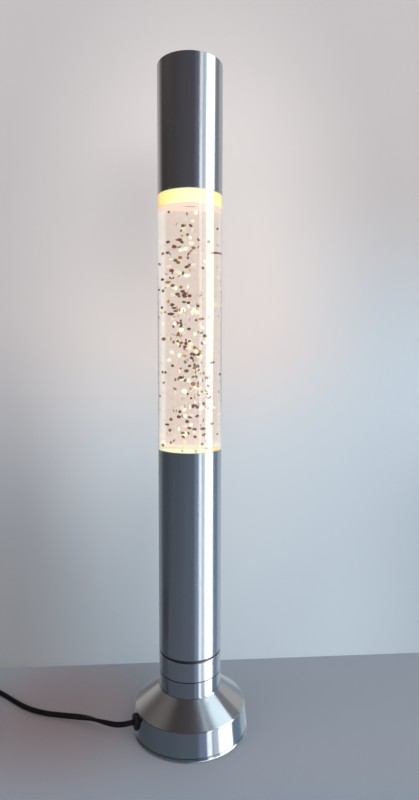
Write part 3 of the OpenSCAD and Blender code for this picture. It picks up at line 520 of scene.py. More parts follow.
class GLITTERLAMP_OT_stage(Maker, bpy.types.Operator):
    """Lay the table, stand the wall and hang the lights"""

    bl_idname = "glitter_lamp.stage"
    bl_label = "Stage"

    def execute(self, context):
        look = self.looks.stage
        self.table(look)
        self.wall(look)
        self.surroundings(context, look)
        self.light("key", (0.9, -1.5, 1.5), 1.3, look.key, (1.0, 0.98, 0.96))
        self.light("fill", (-1.6, -0.9, 1.0), 1.4, look.key * 0.3, (0.93, 0.96, 1.0))
        return {"FINISHED"}

    def table(self, look):
        """A grey table, bluer and darker towards the viewer with painted shade, and a darker warm
        patch of painted shade beside the foot.
        """
        f = finish("table")
        x, y, _ = f.place()
        cloud = f.noise(x * 0.006, y * 0.006, 0.0)
        # painted shade: distance from the middle of a darker warm patch left of the foot
        shade_spot_distance = ((x + 130) * (x + 130) + (y - 20) * (y - 20)).root()
        tone = f.coats(
            look.table,
            (cloud * 0.5, [c * 0.93 for c in look.table]),
            # painted shade: the table turns bluer and darker towards the viewer
            (y.rise(-60, -150) * 0.8, (0.22, 0.30, 0.39)),
            ((1 - shade_spot_distance.rise(20, 150)) * 0.9, (0.235, 0.18, 0.185)),
        )
        corners = [(-6, -6, 0), (6, -6, 0), (6, 6, 0), (-6, 6, 0)]
        plane("table", corners, f.surface(Base_Color=tone, Roughness=0.6))

    def wall(self, look):
        """Pale, with painted shade that makes it bluer and darker near the table and darkest in
        its lower corners, a painted patch of pale blue light right of the lamp, and the tube's
        light painted as a halo on it.
        It shows from the front only, so it never hides the lamp from behind."""
        f = finish("wall")
        x, _, z = f.place()
        cloud = f.noise(x * 0.004, z * 0.006, 3.0)
        round_tube = ((x - 10) * (x - 10) + (z - 400) * (z - 400) * 0.3).root()
        halo = f.mix(z.rise(230, 380), (0.82, 0.875, 0.91), (0.98, 0.885, 0.84))
        # painted shade low on the wall and in its lower corners, painted light right of the lamp
        # and as a halo round the tube
        tone = f.coats(
            look.shaded_low_wall,
            (z.rise(30, 420), look.wall),
            (x.rise(-130, -10) * (1 - z.rise(330, 560)) * 0.8, (0.72, 0.83, 0.90)),
            (x.rise(160, 320) * (1 - z.rise(150, 300)) * 0.6, (0.45, 0.53, 0.61)),
            ((1 - x.rise(-200, -60)) * (1 - z.rise(100, 420)) * 0.9, (0.33, 0.33, 0.345)),
            (1 - round_tube.rise(60, 235), halo),
            (cloud * 0.15, (0.5, 0.5, 0.5)),
        )
        # painted light: the wall glows with this colour for rays through the tube, brighter beside
        # the lamp on both sides
        edge = f.coats(
            look.through,
            (x.rise(38, 64), (1.0, 0.97, 0.93)),
            ((x * -1).rise(40, 90), (0.86, 0.79, 0.75)),
        )
        paint = f.node("ShaderNodeBsdfDiffuse", None, tone)
        lit = f.node("ShaderNodeEmission", None, edge, 1.0)
        front = f.blend(f.node("ShaderNodeLightPath")["Is Transmission Ray"], paint, lit)
        behind = f.node("ShaderNodeNewGeometry")["Backfacing"]
        material = f.show(f.blend(behind, front, f.node("ShaderNodeBsdfTransparent")))
        foot = [(-6, look.wall_y - 0.24, 0), (6, look.wall_y + 0.24, 0)]
        plane("wall", foot + [(*spot[:2], 4) for spot in reversed(foot)], material)

    def surroundings(self, context, look):
        """The world. The eye and the glass see pale walls, matt things get even light, and
        polished metal mirrors a room: a dark side behind the viewer, with a tall window and a
        narrow one to the right. Bearing is the angle round the lamp from the viewer's side, in
        degrees and positive to the right; height is the sine of the angle above level."""
        f = Finish(bpy.data.worlds.new("studio"))
        context.scene.world = f.owner
        way = f.node("ShaderNodeSeparateXYZ", None, f.node("ShaderNodeTexCoord")["Generated"])
        bearing = f.node("ShaderNodeMath", {"operation": "ARCTAN2"}, way["X"], 0 - way["Y"])
        bearing = bearing * (180 / math.pi)
        height = way["Z"]
        above = height.rise(-0.12, 0.16)
        steep = height.rise(0.35, 0.75)
        bearing = bearing - 17 * steep * bearing.rise(0, 20)
        dark = f.mix(bearing.rise(-90, 10), (0.056, 0.047, 0.039), (0.088, 0.08, 0.092))
        slate = f.coats(
            (0.07, 0.085, 0.105),
            (bearing.rise(-105, -50), (0.092, 0.118, 0.152)),
            (bearing.rise(-50, 10), (0.122, 0.165, 0.215)),
            (height.rise(-0.3, -0.75), (0.125, 0.137, 0.168)),
        )
        left = f.mix(height.rise(-0.50, -0.545), (0.27, 0.30, 0.34), (0.08, 0.078, 0.085))
        level = f.mix(bearing.rise(-10, 10), (0.21, 0.205, 0.20), (0.34, 0.41, 0.46))
        right_wall = bearing.rise(116, 126)
        sides = bearing.rise(-100, -125) + right_wall
        over = steep * (1 - bearing.rise(-90, -60)) * (1 - bearing.rise(100, 120))
        room = f.coats(
            f.mix(above, slate, dark),
            (bearing.band(17, 32, 4), f.mix(above, (0.24, 0.31, 0.48), (0.15, 0.16, 0.22))),
            (bearing.band(45, 58, 2), f.mix(steep, (0.72, 0.84, 1.0), (0.25, 0.30, 0.36))),
            (bearing.rise(92, 97), f.mix(above, (0.20, 0.29, 0.40), (0.28, 0.295, 0.32))),
            (right_wall, f.mix(above, (0.52, 0.60, 0.70), (0.56, 0.56, 0.57))),
            (bearing.rise(-110, -146), f.mix(above, left, (0.56, 0.52, 0.50))),
            (height.band(-0.11, 0.13, 0.04) * sides, level),
            (over, (0.2, 0.185, 0.175)),
        )
        panes = bearing.band(58, above * 4 + 90, 1.5) + 0.5 * bearing.band(33, 43, 1.5)
        pane_tone = f.mix(steep, (0.93, 0.98, 1.0), (0.76, 0.92, 1.0))
        pane_light = panes * (1 - 0.5 * steep) * look.window
        ray = f.node("ShaderNodeLightPath")
        through = ray["Is Transmission Ray"]
        mirror = ray["Is Glossy Ray"] * (1 - through)

        def shine(tone, strength):
            return f.node("ShaderNodeBackground", None, tone, strength)

        def both(first, second):
            return f.node("ShaderNodeAddShader", None, first, second)

        plain = f.blend(
            ray["Is Camera Ray"].at_least(through),
            shine((0.97, 0.98, 1.0), look.sky),
            both(
                shine(f.mix(through, look.wall, look.through), 1.0),
                shine((1.0, 0.98, 0.94), through * bearing.band(57, 92, 2) * 1.5),
            ),
        )
        panorama = both(shine(room, 1.0), shine(pane_tone, pane_light))
        f.show(f.blend(mirror, plain, panorama), "ShaderNodeOutputWorld")

    def light(self, name, spot, size, power, tone):
        """A round soft light that points at the column and shows in no mirror."""
        lamp = bpy.data.lights.new(name, "AREA")
        lamp.shape, lamp.size, lamp.energy, lamp.color = "DISK", size, power, tone
        piece = placed(name, lamp)
        piece.location = spot
        aim = Vector((0, 0, 0.2)) - Vector(spot)
        piece.rotation_euler = aim.to_track_quat("-Z", "Y").to_euler()
        piece.visible_glossy = False


# ---- finishes


def brushed_metal(name, look, worn_highlit_rims=(), grooves=(), dull=0.0, drawn=1.0, depth=1.0):
    """Aluminium under clear lacquer. Fine lines turn round the axis, fainter streaks run
    along the tube, handling leaves soft smudges, the rims at the given heights in millimetres
    are brighter with rubbed wear and a painted highlight, and painted shade darkens the grooves at
    theirs."""
    f = finish(name)
    z = f.place()[2]
    lines = f.node(
        "ShaderNodeTexNoise", {"noise_dimensions": "1D"},
        W=(z + f.radius()) * 2.3, Scale=1.0, Detail=4.0, Roughness=0.7,
    )
    streaks = f.grain(0.9, 0.012, 3.0, 0.6)
    smudges = f.grain(0.07, 0.045, 3.0, 0.55).rise(0.5, 0.78)
    bare = [c * depth for c in look.tone]
    tone = f.coats(
        bare,
        ((streaks - 0.3) * (0.8 * drawn), [c * 0.7 for c in bare]),
        (smudges * 0.35, [c * 0.86 for c in bare]),
    )
    rough = look.gloss + dull + (lines - 0.5) * 0.07 + smudges * 0.05
    # rubbed wear and a painted highlight: lighter, smoother metal at the rims
    if worn_highlit_rims:
        wear_and_highlight = z.near(worn_highlit_rims, 0.25, 0.9) * f.grain(0.3, 0.3).rise(0.35, 0.6)
        tone = f.mix(wear_and_highlight * 0.6, tone, (0.8, 0.81, 0.82))
        rough = rough - wear_and_highlight * 0.05
    # painted shade: the metal turns near-black in the grooves
    if grooves:
        groove_shade = z.near(grooves, 0.22, 0.5)
        tone = f.mix(groove_shade * 0.85, tone, (0.03, 0.03, 0.033))
        rough = rough + groove_shade * 0.3
    return f.surface(
        Base_Color=tone, Metallic=1.0, Roughness=rough, Anisotropic=look.grain,
        Anisotropic_Rotation=0.25, Coat_Weight=0.06, Coat_Roughness=0.12,
        Normal=f.bumps(lines, look.lines, 0.02 * MM),
    )


def plated(name, tone, rough=0.3, grain=1.0):
    """Turned or pressed metal with fine tool marks and a few dull spots."""
    f = finish(name)
    marks = f.grain(2.2 * grain, 6 * grain, 3.0, 0.6)
    dull = f.grain(0.25, 0.25).rise(0.45, 0.75)
    return f.surface(
        Base_Color=f.mix(dull * 0.6, tone, [c * 0.7 for c in tone]), Metallic=1.0,
        Roughness=rough + dull * 0.15 + (marks - 0.5) * 0.1,
        Normal=f.bumps(marks, 0.2, 0.03 * MM),
    )


def moulded(name, tone, rough=0.42, grain=1.0, dust=0.06, shine=0.5):
    """Moulded plastic or rubber: an even spark-eroded grain, a little dust in its hollows."""
    f = finish(name)
    grains = f.grain(5 * grain, 5 * grain, 3.0, 0.6)
    cloud = f.grain(0.12, 0.12, 3.0).rise(0.4, 0.75)
    grey = [min(1.0, c + 0.05) for c in tone]
    return f.surface(
        Base_Color=f.mix(cloud * dust * 6, tone, grey),
        Roughness=rough + cloud * dust + (grains - 0.5) * 0.08, Specular_IOR_Level=shine,
        Normal=f.bumps(grains, 0.25, 0.05 * MM),
    )


def sheathing(name, look):
    """Satin black sheath of the flex, with the faint rings that its drum leaves."""
    f = finish(name)
    skin = f.grain(1.4, 3.5, 3.0, 0.6)
    rub = f.grain(0.08, 0.3).rise(0.45, 0.75)
    return f.surface(
        Base_Color=f.mix(rub * 0.5, look.tone, [c * 1.9 for c in look.tone]),
        Roughness=0.44 + rub * 0.1 + (skin - 0.5) * 0.08, Specular_IOR_Level=0.12,
        Normal=f.bumps(skin, 0.18, 0.06 * MM),
    )


# ---- flex, plug, switch


def flex_section(look):
    """Two half circles joined by straight sides: thick across, wide upwards."""
    half, rest = look.thick / 2, (look.width - look.thick) / 2
    a = np.linspace(0, np.pi, 8)
    top = np.stack([half * np.cos(a), half * np.sin(a) + rest], -1)
    return np.concatenate([top, -top])


# The flex, in millimetres: its points from the foot to the switch, with the twist in degrees
# at each, its points from the switch to the coil, the coil, and the tail with its heights.
LEAD = [
    (-51.665, -18.805, 15.4), (-54.484, -19.831, 15.4), (-58.8, -21, 15.2), (-63.2, -21.2, 14.9),
    (-67.6, -20.4, 14.5), (-71.8, -18.8, 14.1), (-78.4, -15.3, 13.3), (-86.6, -10.1, 12),
    (-94, -5.4, 10.9), (-101.3, -2, 9.8), (-109, 1.2, 8.7), (-117.8, 4.5, 7.5),
    (-127.6, 8.1, 6.3), (-136, 11.3, 5.3), (-144, 15, 4.5), (-154, 20.3, 3.6),
    (-166.4, 28.4, 2.9), (-180, 39, 2.7), (-190, 47, 2.7), (-200, 54.2, 2.7),
    (-210, 60, 3.2), (-219, 63.7, 4.8), (-227, 65.6, 7), (-231.8, 66, 8), (-237, 66, 8),
    (-243, 66, 8),
]
LEAD_TWIST = [0, 0, 0, 0, 0, 4, 18, 48, 80, 114, 142, 162, 174] + [180] * 13
LINK = [
    (-289, 66, 8), (-295, 66, 8), (-300.2, 66, 8), (-302, 65.4, 7.4), (-309, 62.4, 6.2),
    (-315, 57.2, 5.2), (-319.6, 50, 4.5), (-322, 41.5, 4.1), (-322.6, 31, 3.9),
    (-322.6, 22.4, 3.9), (-322.6, 17.2, 3.9),
]
COIL_MIDDLE = np.array([-285, 12, 3.9])
COIL_OUT, COIL_STEP, COIL_LAYER = 37.6, 3.9, 5.9
TAIL_RISE = [9.8, 9.5, 8.5, 7.2, 5.8, 4.5, 3.5, 3, 3.1, 3.9, 5.1, 6.3, 6.85]
TAIL_MIDDLE, TAIL_OUT = (-226.4, 27.2), 21
PLUG = np.array([-205.4, 2, 6.85])  # where the plug's body meets its relief
RELIEF = 20  # length of the relief


def coil_route(turns=7.5, per_turn=24):
    """Coil of two layers: the radius shrinks by 3.9 mm a turn to the middle and grows again,
    the angle goes round evenly, and the height climbs 5.9 mm on a smooth step half way."""
    t = np.arange(turns * per_turn + 1) / per_turn
    r = COIL_OUT - COIL_STEP * np.minimum(t, turns - t)
    k = np.clip(2 * (t - turns / 2) + 0.5, 0, 1)
    a = np.pi + 2 * np.pi * t
    climb = COIL_LAYER * k * k * (3 - 2 * k)
    return np.stack([r * np.cos(a), r * np.sin(a), climb], -1) + COIL_MIDDLE


def tail_route():
    """From the coil's end 10 mm straight on, half round a circle, and to the relief."""
    a = np.radians(15 * np.arange(13))
    x, y = TAIL_MIDDLE
    bend = np.stack([x - TAIL_OUT * np.cos(a), y + TAIL_OUT * np.sin(a), TAIL_RISE], -1)
    start = (x - TAIL_OUT, y - 10, TAIL_RISE[0])
    return np.concatenate([[start], bend, [PLUG + [0, RELIEF, 0]]])


class GLITTERLAMP_OT_flex(Maker, bpy.types.Operator):
    """Lay the flat flex from the foot to the switch, into its coil and to the plug"""

    bl_idname = "glitter_lamp.flex"
    bl_label = "Flex"

    def execute(self, context):
        look = self.looks.flex
        sheath, section = sheathing("flex sheath", look), flex_section(look)
        route, turn = smooth_route(np.array(LEAD) * MM, twist=np.radians(LEAD_TWIST))
        lead = swept(route, section, turn)
        lead = add_piece("flex_lead", [lead], sheath, stands_for=("cord_lead",))
        route, _ = smooth_route(np.concatenate([LINK, coil_route(), tail_route()]) * MM)
        rest = add_piece(
            "flex_rest", [swept(route, section)], sheath,
            stands_for=("cord_link", "cord_coil", "cord_tail"),
        )
        return {"FINISHED"}


class GLITTERLAMP_OT_fittings(Maker, bpy.types.Operator):
    """Fit the grommet, the switch, the plug with its strain relief, and the coil's ties"""

    bl_idname = "glitter_lamp.fittings"
    bl_label = "Grommet, switch, plug and ties"

    def execute(self, context):
        tone = self.looks.flex.tone
        self.grommet(moulded("grommet rubber", tone, 0.5, 0.8, 0.1, 0.2))
        shell = moulded("switch shell", [c * 1.3 for c in tone], 0.38, 1.2, 0.06, 0.35)
        softened("switch_lower", "switch_base", 0.5 * MM, shell)
        softened("switch_upper", "switch_cover", 0.9 * MM, shell)
        rocker = moulded("rocker", [c * 2.2 for c in tone], 0.28, 1.5, 0.03)
        softened("rocker_key", "switch_rocker", 0.5 * MM, rocker, body="rocker")
        self.plug(moulded("plug body", [c * 1.2 for c in tone], 0.4, 1.0, 0.06, 0.35))
        self.relief(moulded("relief rubber", tone, 0.5, 0.8, 0.1, 0.25))
        self.ties(moulded("tie", (0.03, 0.03, 0.033), 0.33, 1.0, 0.03))
        wear("plug_pins", plated("pin brass", (0.78, 0.72, 0.58), 0.22))
        wear("pin_sleeves", moulded("pin sleeve", tone, 0.35))
        wear("switch_contacts", plated("switch brass", (0.78, 0.62, 0.3)))
        wear("switch_screws", plated("switch screw zinc", (0.66, 0.66, 0.64)))
        wear("rocker_pin", plated("rocker pin steel", (0.6, 0.6, 0.6), 0.25))
        return {"FINISHED"}

    def grommet(self, rubber):
        """Turned round the flex's line: a rounded outer flange, the neck in the hole of the
        skirt and the inner lip; the flex fills its middle."""
        profile = rounded(
            [(0, 54.98), (7.4, 54.98), (7.4, 51.9), (5.35, 51.9), (5.35, 50.9), (7.4, 50.9),
             (7.4, 49.8), (0, 49.8)],
            [0, 1.3, 0.15, 0, 0, 0.2, 0.5, 0],
        )
        turned = lathe(profile * MM, 72)
        grid = turned[..., :1] * SIDE + turned[..., 1:2] * UP + turned[..., 2:] * AHEAD
        grid = grid + UP * FLEX_Z * MM
        add_piece("grommet", [grid], rubber, stands_for=("cord_grommet",), sharp=50)

    def plug(self, shell):
        """Sections across the plug, from the relief to its face: the fifth powers of x over
        the half width and z over the half thickness add up to 1. Both halves change evenly
        from mark to mark along the length, and draw in on an arc of 1.6 mm at both ends."""
        y = np.r_[0, 0.25, 0.7, 1.4, np.linspace(2.6, 33.2, 22), 34.4, 35.2, 35.7, 36]
        wide = [7, 8.6, 11.4, 13.6, 15.5, 17, 17.5, 17.5]
        wide = np.interp(y, [0, 3, 8, 13, 18, 23, 27, 36], wide)
        thick = np.interp(y, [0, 4, 9, 14, 22, 36], [5.4, 5.9, 6.35, 6.6, 6.8, 6.85])
        close = np.minimum(y, 36 - y).clip(0, 1.6)
        inset = 1.6 - np.sqrt(1.6**2 - (1.6 - close) ** 2)
        grid = oval(64, 1, 1, 5.0)[None] * np.stack([wide - inset, thick - inset], -1)[:, None]
        grid = np.stack([grid[..., 0], 0 * grid[..., 0] - y[:, None], grid[..., 1]], -1)
        ends = [grid[k : k + 1] * [0, 1, 0] for k in (0, -1)]
        grid = np.concatenate([ends[0], grid, ends[1]]) + PLUG
        add_piece("plug_shell", [grid * MM], shell, stands_for=("plug_body",), sharp=50)

    def relief(self, rubber):
        """Turned round the flex's line: the radius grows evenly from 3.7 to 5.35 mm towards
        the plug and dips into four grooves, each a smooth step down and up."""
        y = np.linspace(0, RELIEF, 161)
        cone = 3.7 + 1.65 * y / RELIEF
        groove = np.zeros(len(y))
        for start in (3, 6.6, 10.2, 13.8):
            middle = start + 0.9
            groove = np.maximum(groove, np.clip(1.6 - abs(y - middle) / 0.55, 0, 1))
        r = cone - groove * groove * (3 - 2 * groove) * (cone - 3.25)
        r[0], r[1], r[2] = 0, 3.0, 3.5
        turned = lathe(np.stack([r, y], -1) * MM, 48)
        grid = np.stack([turned[..., 0], -turned[..., 2], turned[..., 1]], -1)
        grid = grid + (PLUG + [0, RELIEF, 0]) * MM
        add_piece("relief", [grid], rubber, stands_for=("plug_relief",), sharp=50)

    def ties(self, plastic):
        """Two flat bands, each a rounded rectangle round the bundle with a rounded section."""
        loop = rounded([(20.675, 0.6), (39.9, 0.6), (39.9, 13.1), (20.675, 13.1)], [1.6] * 4, 9)
        ahead = unit(np.roll(loop, -1, 0) - np.roll(loop, 1, 0))
        out = np.stack([ahead[:, 1], -ahead[:, 0]], -1)
        section = oval(20, 0.39, 3.0, 4.0)
        grids = []
        for angle in np.radians([50, 215]):
            radial = np.array([math.cos(angle), math.sin(angle), 0])
            across = np.array([-math.sin(angle), math.cos(angle), 0])
            flat = loop[:, None] + out[:, None] * section[None, :, :1]
            grid = flat[..., :1] * radial + flat[..., 1:] * UP
            grid = grid + section[None, :, 1:] * across + COIL_MIDDLE * [1, 1, 0]
            grids.append(grid * MM)
        add_piece("ties", grids, plastic, stands_for=("coil_ties",), loop=True, sharp=50)


# ---- metal and inside


class GLITTERLAMP_OT_metalwork(Maker, bpy.types.Operator):
    """Brush the foot, the collar, the column and the cap"""

    bl_idname = "glitter_lamp.metalwork"
    bl_label = "Metalwork"

    def execute(self, context):
        look = self.looks.metal
        # the grooves get painted shade, the rims rubbed wear and a painted highlight
        foot = {"worn_highlit_rims": (2.2, 25.6), "grooves": (4.15, 57.4)}
        foot = brushed_metal("spun foot", look, dull=-0.09, drawn=0.3, depth=0.88, **foot)
        wear("foot_shell", foot)
        wear("neck_collar", brushed_metal("collar", look, worn_highlit_rims=(75.2,), grooves=(57.6,)))
        wear("column_tube", brushed_metal("column", look, worn_highlit_rims=span("column_tube")))
        wear("cap_tube", brushed_metal("cap", look, worn_highlit_rims=span("cap_tube")))
        wear("cap_lid", brushed_metal("cap lid", look, dull=0.06, drawn=0.3))
        # painted shade: the sleeve's flange, recessed between column and collar, is coloured dark
        wear("coupling_sleeve", plated("turned sleeve", (0.10, 0.105, 0.12), 0.4))
        return {"FINISHED"}


class GLITTERLAMP_OT_inside(Maker, bpy.types.Operator):
    """Finish the underside and what the foot and the column hide"""

    bl_idname = "glitter_lamp.inside"
    bl_label = "Underside and inside"

    def execute(self, context):
        wear("base_plate", plated("phosphated plate", (0.2, 0.2, 0.21), 0.5))
        wear("ballast_weight", moulded("cast iron", (0.055, 0.055, 0.06), 0.62, 0.35))
        wear("support_pipe", plated("zinc pipe", (0.7, 0.68, 0.6), 0.3))
        wear("pipe_nuts", plated("brass nut", (0.76, 0.62, 0.34), 0.28))
        wear("pipe_washers", plated("zinc washer", (0.66, 0.66, 0.63), 0.35))
        wear("centring_disc", plated("disc zinc", (0.62, 0.62, 0.6), 0.35))
        wear("clamp_screws", plated("clamp screw zinc", (0.66, 0.66, 0.63), 0.3))
        softened("clamp", "cord_clamp", 0.7 * MM, moulded("nylon clamp", (0.62, 0.6, 0.55), 0.45))
        pad = rounded([(13, 0), (50.4, 0), (50.4, 3.9), (13, 3.9)], [0.6] * 4)
        add_piece(
            "foam_pad", [lathe(pad * MM)], moulded("foam", (0.012, 0.012, 0.013), 0.85, 0.3, 0.1),
            stands_for=("base_pad",), loop=True,
        )
        self.wiring(self.looks.flex)
        return {"FINISHED"}

    def wiring(self, look):
        """The sheath inside the foot, and its two cores that rise beside the pipe: each core
        keeps its side of the flex's plane and its distance from the axis eases from one
        value to the next, as e * e * (3 - 2 e)."""
        route = AHEAD * np.linspace(25, 54.9, 24)[:, None] + UP * FLEX_Z
        add_piece(
            "inner_sheath", [swept(route * MM, flex_section(look))],
            sheathing("inner sheath", look), stands_for=("inner_lead",),
        )
        disc = span("centring_disc")[0]
        cores = []
        for s in (-1, 1):
            steps = [(0, 0.15, 0), (1.2, 0.15, 0), (4, 0.3, 0.2), (7, 0.7, 1.8), (9.4, 1, 4.6),
                     (11.4, 1, 8.6), (12, 1, 13)]
            path = [(25 - q, 1.6 * s * a, FLEX_Z + 1.1 * s * (1 - a) + h) for q, a, h in steps]
            path += [(13, 1.6 * s, 33.4 + 32.6 * k / 4 * (48 - FLEX_Z) / 32.6) for k in range(5)]
            for k in range(1, 7):
                e = k / 6
                path.append((13 - 3.5 * e * e * (3 - 2 * e), 1.6 * s, 66 + (disc - 78) * e))
            path += [(9.5, 1.6 * s, disc), (9.5, 1.6 * s, disc + 7.8)]
            path = np.array(path)
            spots = path[:, :1] * AHEAD + path[:, 1:2] * SIDE + path[:, 2:] * UP
            line, _ = smooth_route(spots * MM, 1.2 * MM)
            cores.append(swept(line, oval(14, 1.1 * MM, 1.1 * MM), 0.0, SIDE))
        f = finish("core insulation")
        skin = f.grain(2, 2)
        rubber = f.surface(
            Base_Color=f.mix(skin * 0.3, f.tint("tint"), (0.1, 0.1, 0.1)),
            Roughness=0.3 + skin * 0.1, Normal=f.bumps(skin, 0.1, 0.03 * MM),
        )
        add_piece(
            "cores", cores, rubber, stands_for=("inner_cores",),
            tints={"tint": [(0.02, 0.08, 0.32), (0.12, 0.045, 0.02)]},
        )


class GLITTERLAMP_OT_bulb(Maker, bpy.types.Operator):
    """Finish the bulb and the holder that it screws into"""

    bl_idname = "glitter_lamp.bulb"
    bl_label = "Bulb and holder"

    def execute(self, context):
        thermoset = moulded("holder thermoset", (0.025, 0.022, 0.02), 0.3, 0.7)
        softened("holder", "lampholder", 0.5 * MM, thermoset)
        wear("holder_insert", moulded("ceramic", (0.75, 0.73, 0.68), 0.6, 1.0))
        brass = plated("contact brass", (0.8, 0.66, 0.32), 0.28)
        for node in ("holder_thread", "centre_contact", "terminal_screws"):
            wear(node, brass)
        wear("bulb_screw_cap", plated("nickel", (0.74, 0.73, 0.7), 0.22))
        wear("bulb_insulator", moulded("black glass", (0.01, 0.01, 0.014), 0.12, 1.0, 0.02))
        wear("bulb_tip", plated("solder", (0.6, 0.6, 0.58), 0.4, 2.0))
        f = finish("glowing wire")
        tone = f.mix(f.place()[2].rise(205, 215), (0.1, 0.07, 0.03), (1.0, 0.8, 0.45))
        wear("filament", f.surface(
            Base_Color=(0.8, 0.7, 0.5), Roughness=0.4, Emission_Color=tone, Emission_Strength=4.0,
        ))
        f = finish("bulb glass")
        frost = f.grain(0.9, 0.9, 3.0, 0.6)
        mirror = 1 - f.place()[2].rise(227, 229)
        wear("bulb_glass", f.surface(
            Base_Color=f.mix(mirror, (1.0, 0.96, 0.85), (0.8, 0.8, 0.78)),
            Metallic=mirror * 0.9, Roughness=0.12 + (1 - mirror) * 0.35 + frost * 0.08,
            Emission_Color=f.mix(mirror, (1.0, 0.86, 0.6), (0.05, 0.04, 0.03)),
            Emission_Strength=1.3, Alpha=0.82 + 0.18 * mirror,
        ))
        return {"FINISHED"}


# ---- clear tube


class GLITTERLAMP_OT_tube(Maker, bpy.types.Operator):
    """Turn the clear tube and fill it"""

    bl_idname = "glitter_lamp.tube"
    bl_label = "Clear tube and liquid"

    def execute(self, context):
        look = self.looks
        base, top = span("clear_tube")
        shown, cap = span("column_tube")[1], span("cap_tube")[0]
        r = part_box("clear_tube")[1].x / MM
        rim = look.bottle.rim / MM
        profile = rounded(
            [(25.5, base), (27.4, base), (27.4, shown), (r, shown), (r, cap), (27.25, cap),
             (27.25, top), (25.5, top)],
            [0, rim, 0, rim, rim, 0, rim, 0],
        )
        add_piece(
            "clear_wall", [lathe(profile * MM, 192)], self.clear(), body="bottle",
            stands_for=("clear_tube",), loop=True,
        )
        floor, roof = np.array(span("liquid_fill")) + [0.04, -0.04]
        profile = rounded([(0, floor), (BORE, floor), (BORE, roof), (0, roof)], [0, 0.5, 0.5, 0])
        add_piece(
            "liquid", [lathe(profile * MM, 144)], self.veil(look.glow), body="bottle",
            stands_for=("liquid_fill",),
        )
        return {"FINISHED"}

    def clear(self):
        """Clear plastic whose bore vanishes against the liquid, because both bend light
        alike. Only its outside shows, with hairline scratches and the odd fingermark."""
        f = finish("clear wall")
        marks = f.grain(0.08, 0.05, 3.0, 0.6).rise(0.52, 0.75)
        hairs = f.grain(3.0, 0.05).rise(0.66, 0.74)
        outside = f.radius().rise(25.6, 25.9)
        lit = 1 - f.node("ShaderNodeLightPath")["Is Shadow Ray"]
        return f.surface(
            Base_Color=(1.0, 0.99, 0.975), Roughness=0.012 + marks * 0.03 + hairs * 0.03,
            IOR=1.45, Transmission_Weight=1.0, Alpha=outside * lit,
            Coat_Weight=0.8, Coat_IOR=1.9, Coat_Roughness=0.03,
        )

    def veil(self, look):
        """Light that hangs in the liquid, more of it near the top and near the floor, where the
        window's light makes a thin bright layer."""
        f = finish("liquid")
        x, _, z = f.place()
        cloud = f.grain(0.05, 0.03)
        floor, roof = span("liquid_fill")
        ends = (1 - z.rise(floor, floor + 30)).at_least(z.rise(roof - 12, roof))
        layer = 1 - z.rise(floor + 2.4, floor + 5.0)
        warm = f.mix(x.rise(4, 22), (0.86, 0.82, 0.56), (0.95, 0.62, 0.24))
        return f.surface(
            Base_Color=f.mix(layer, look.veil, (0.1, 0.08, 0.05)), Roughness=0.6,
            Alpha=0.012 + 0.012 * cloud + ends * 0.035 + layer * 0.48,
            Emission_Color=f.mix(layer, (1.0, 0.82, 0.6), warm), Emission_Strength=1.2,
        )


FLAKE_KINDS = (  # share, colour, and the painted glint that it gives off
    (0.35, (0.13, 0.045, 0.03), (0.052, 0.014, 0.009)),  # brown
    (0.15, (0.17, 0.09, 0.022), (0.05, 0.022, 0.003)),  # olive
    (0.10, (0.5, 0.26, 0.05), (0.16, 0.065, 0.004)),  # gold
    (0.10, (0.17, 0.155, 0.15), (0.02, 0.02, 0.02)),  # grey
    (0.30, (0.8, 0.74, 0.6), (0.7, 0.62, 0.45)),  # cream
)
CREAM = 4


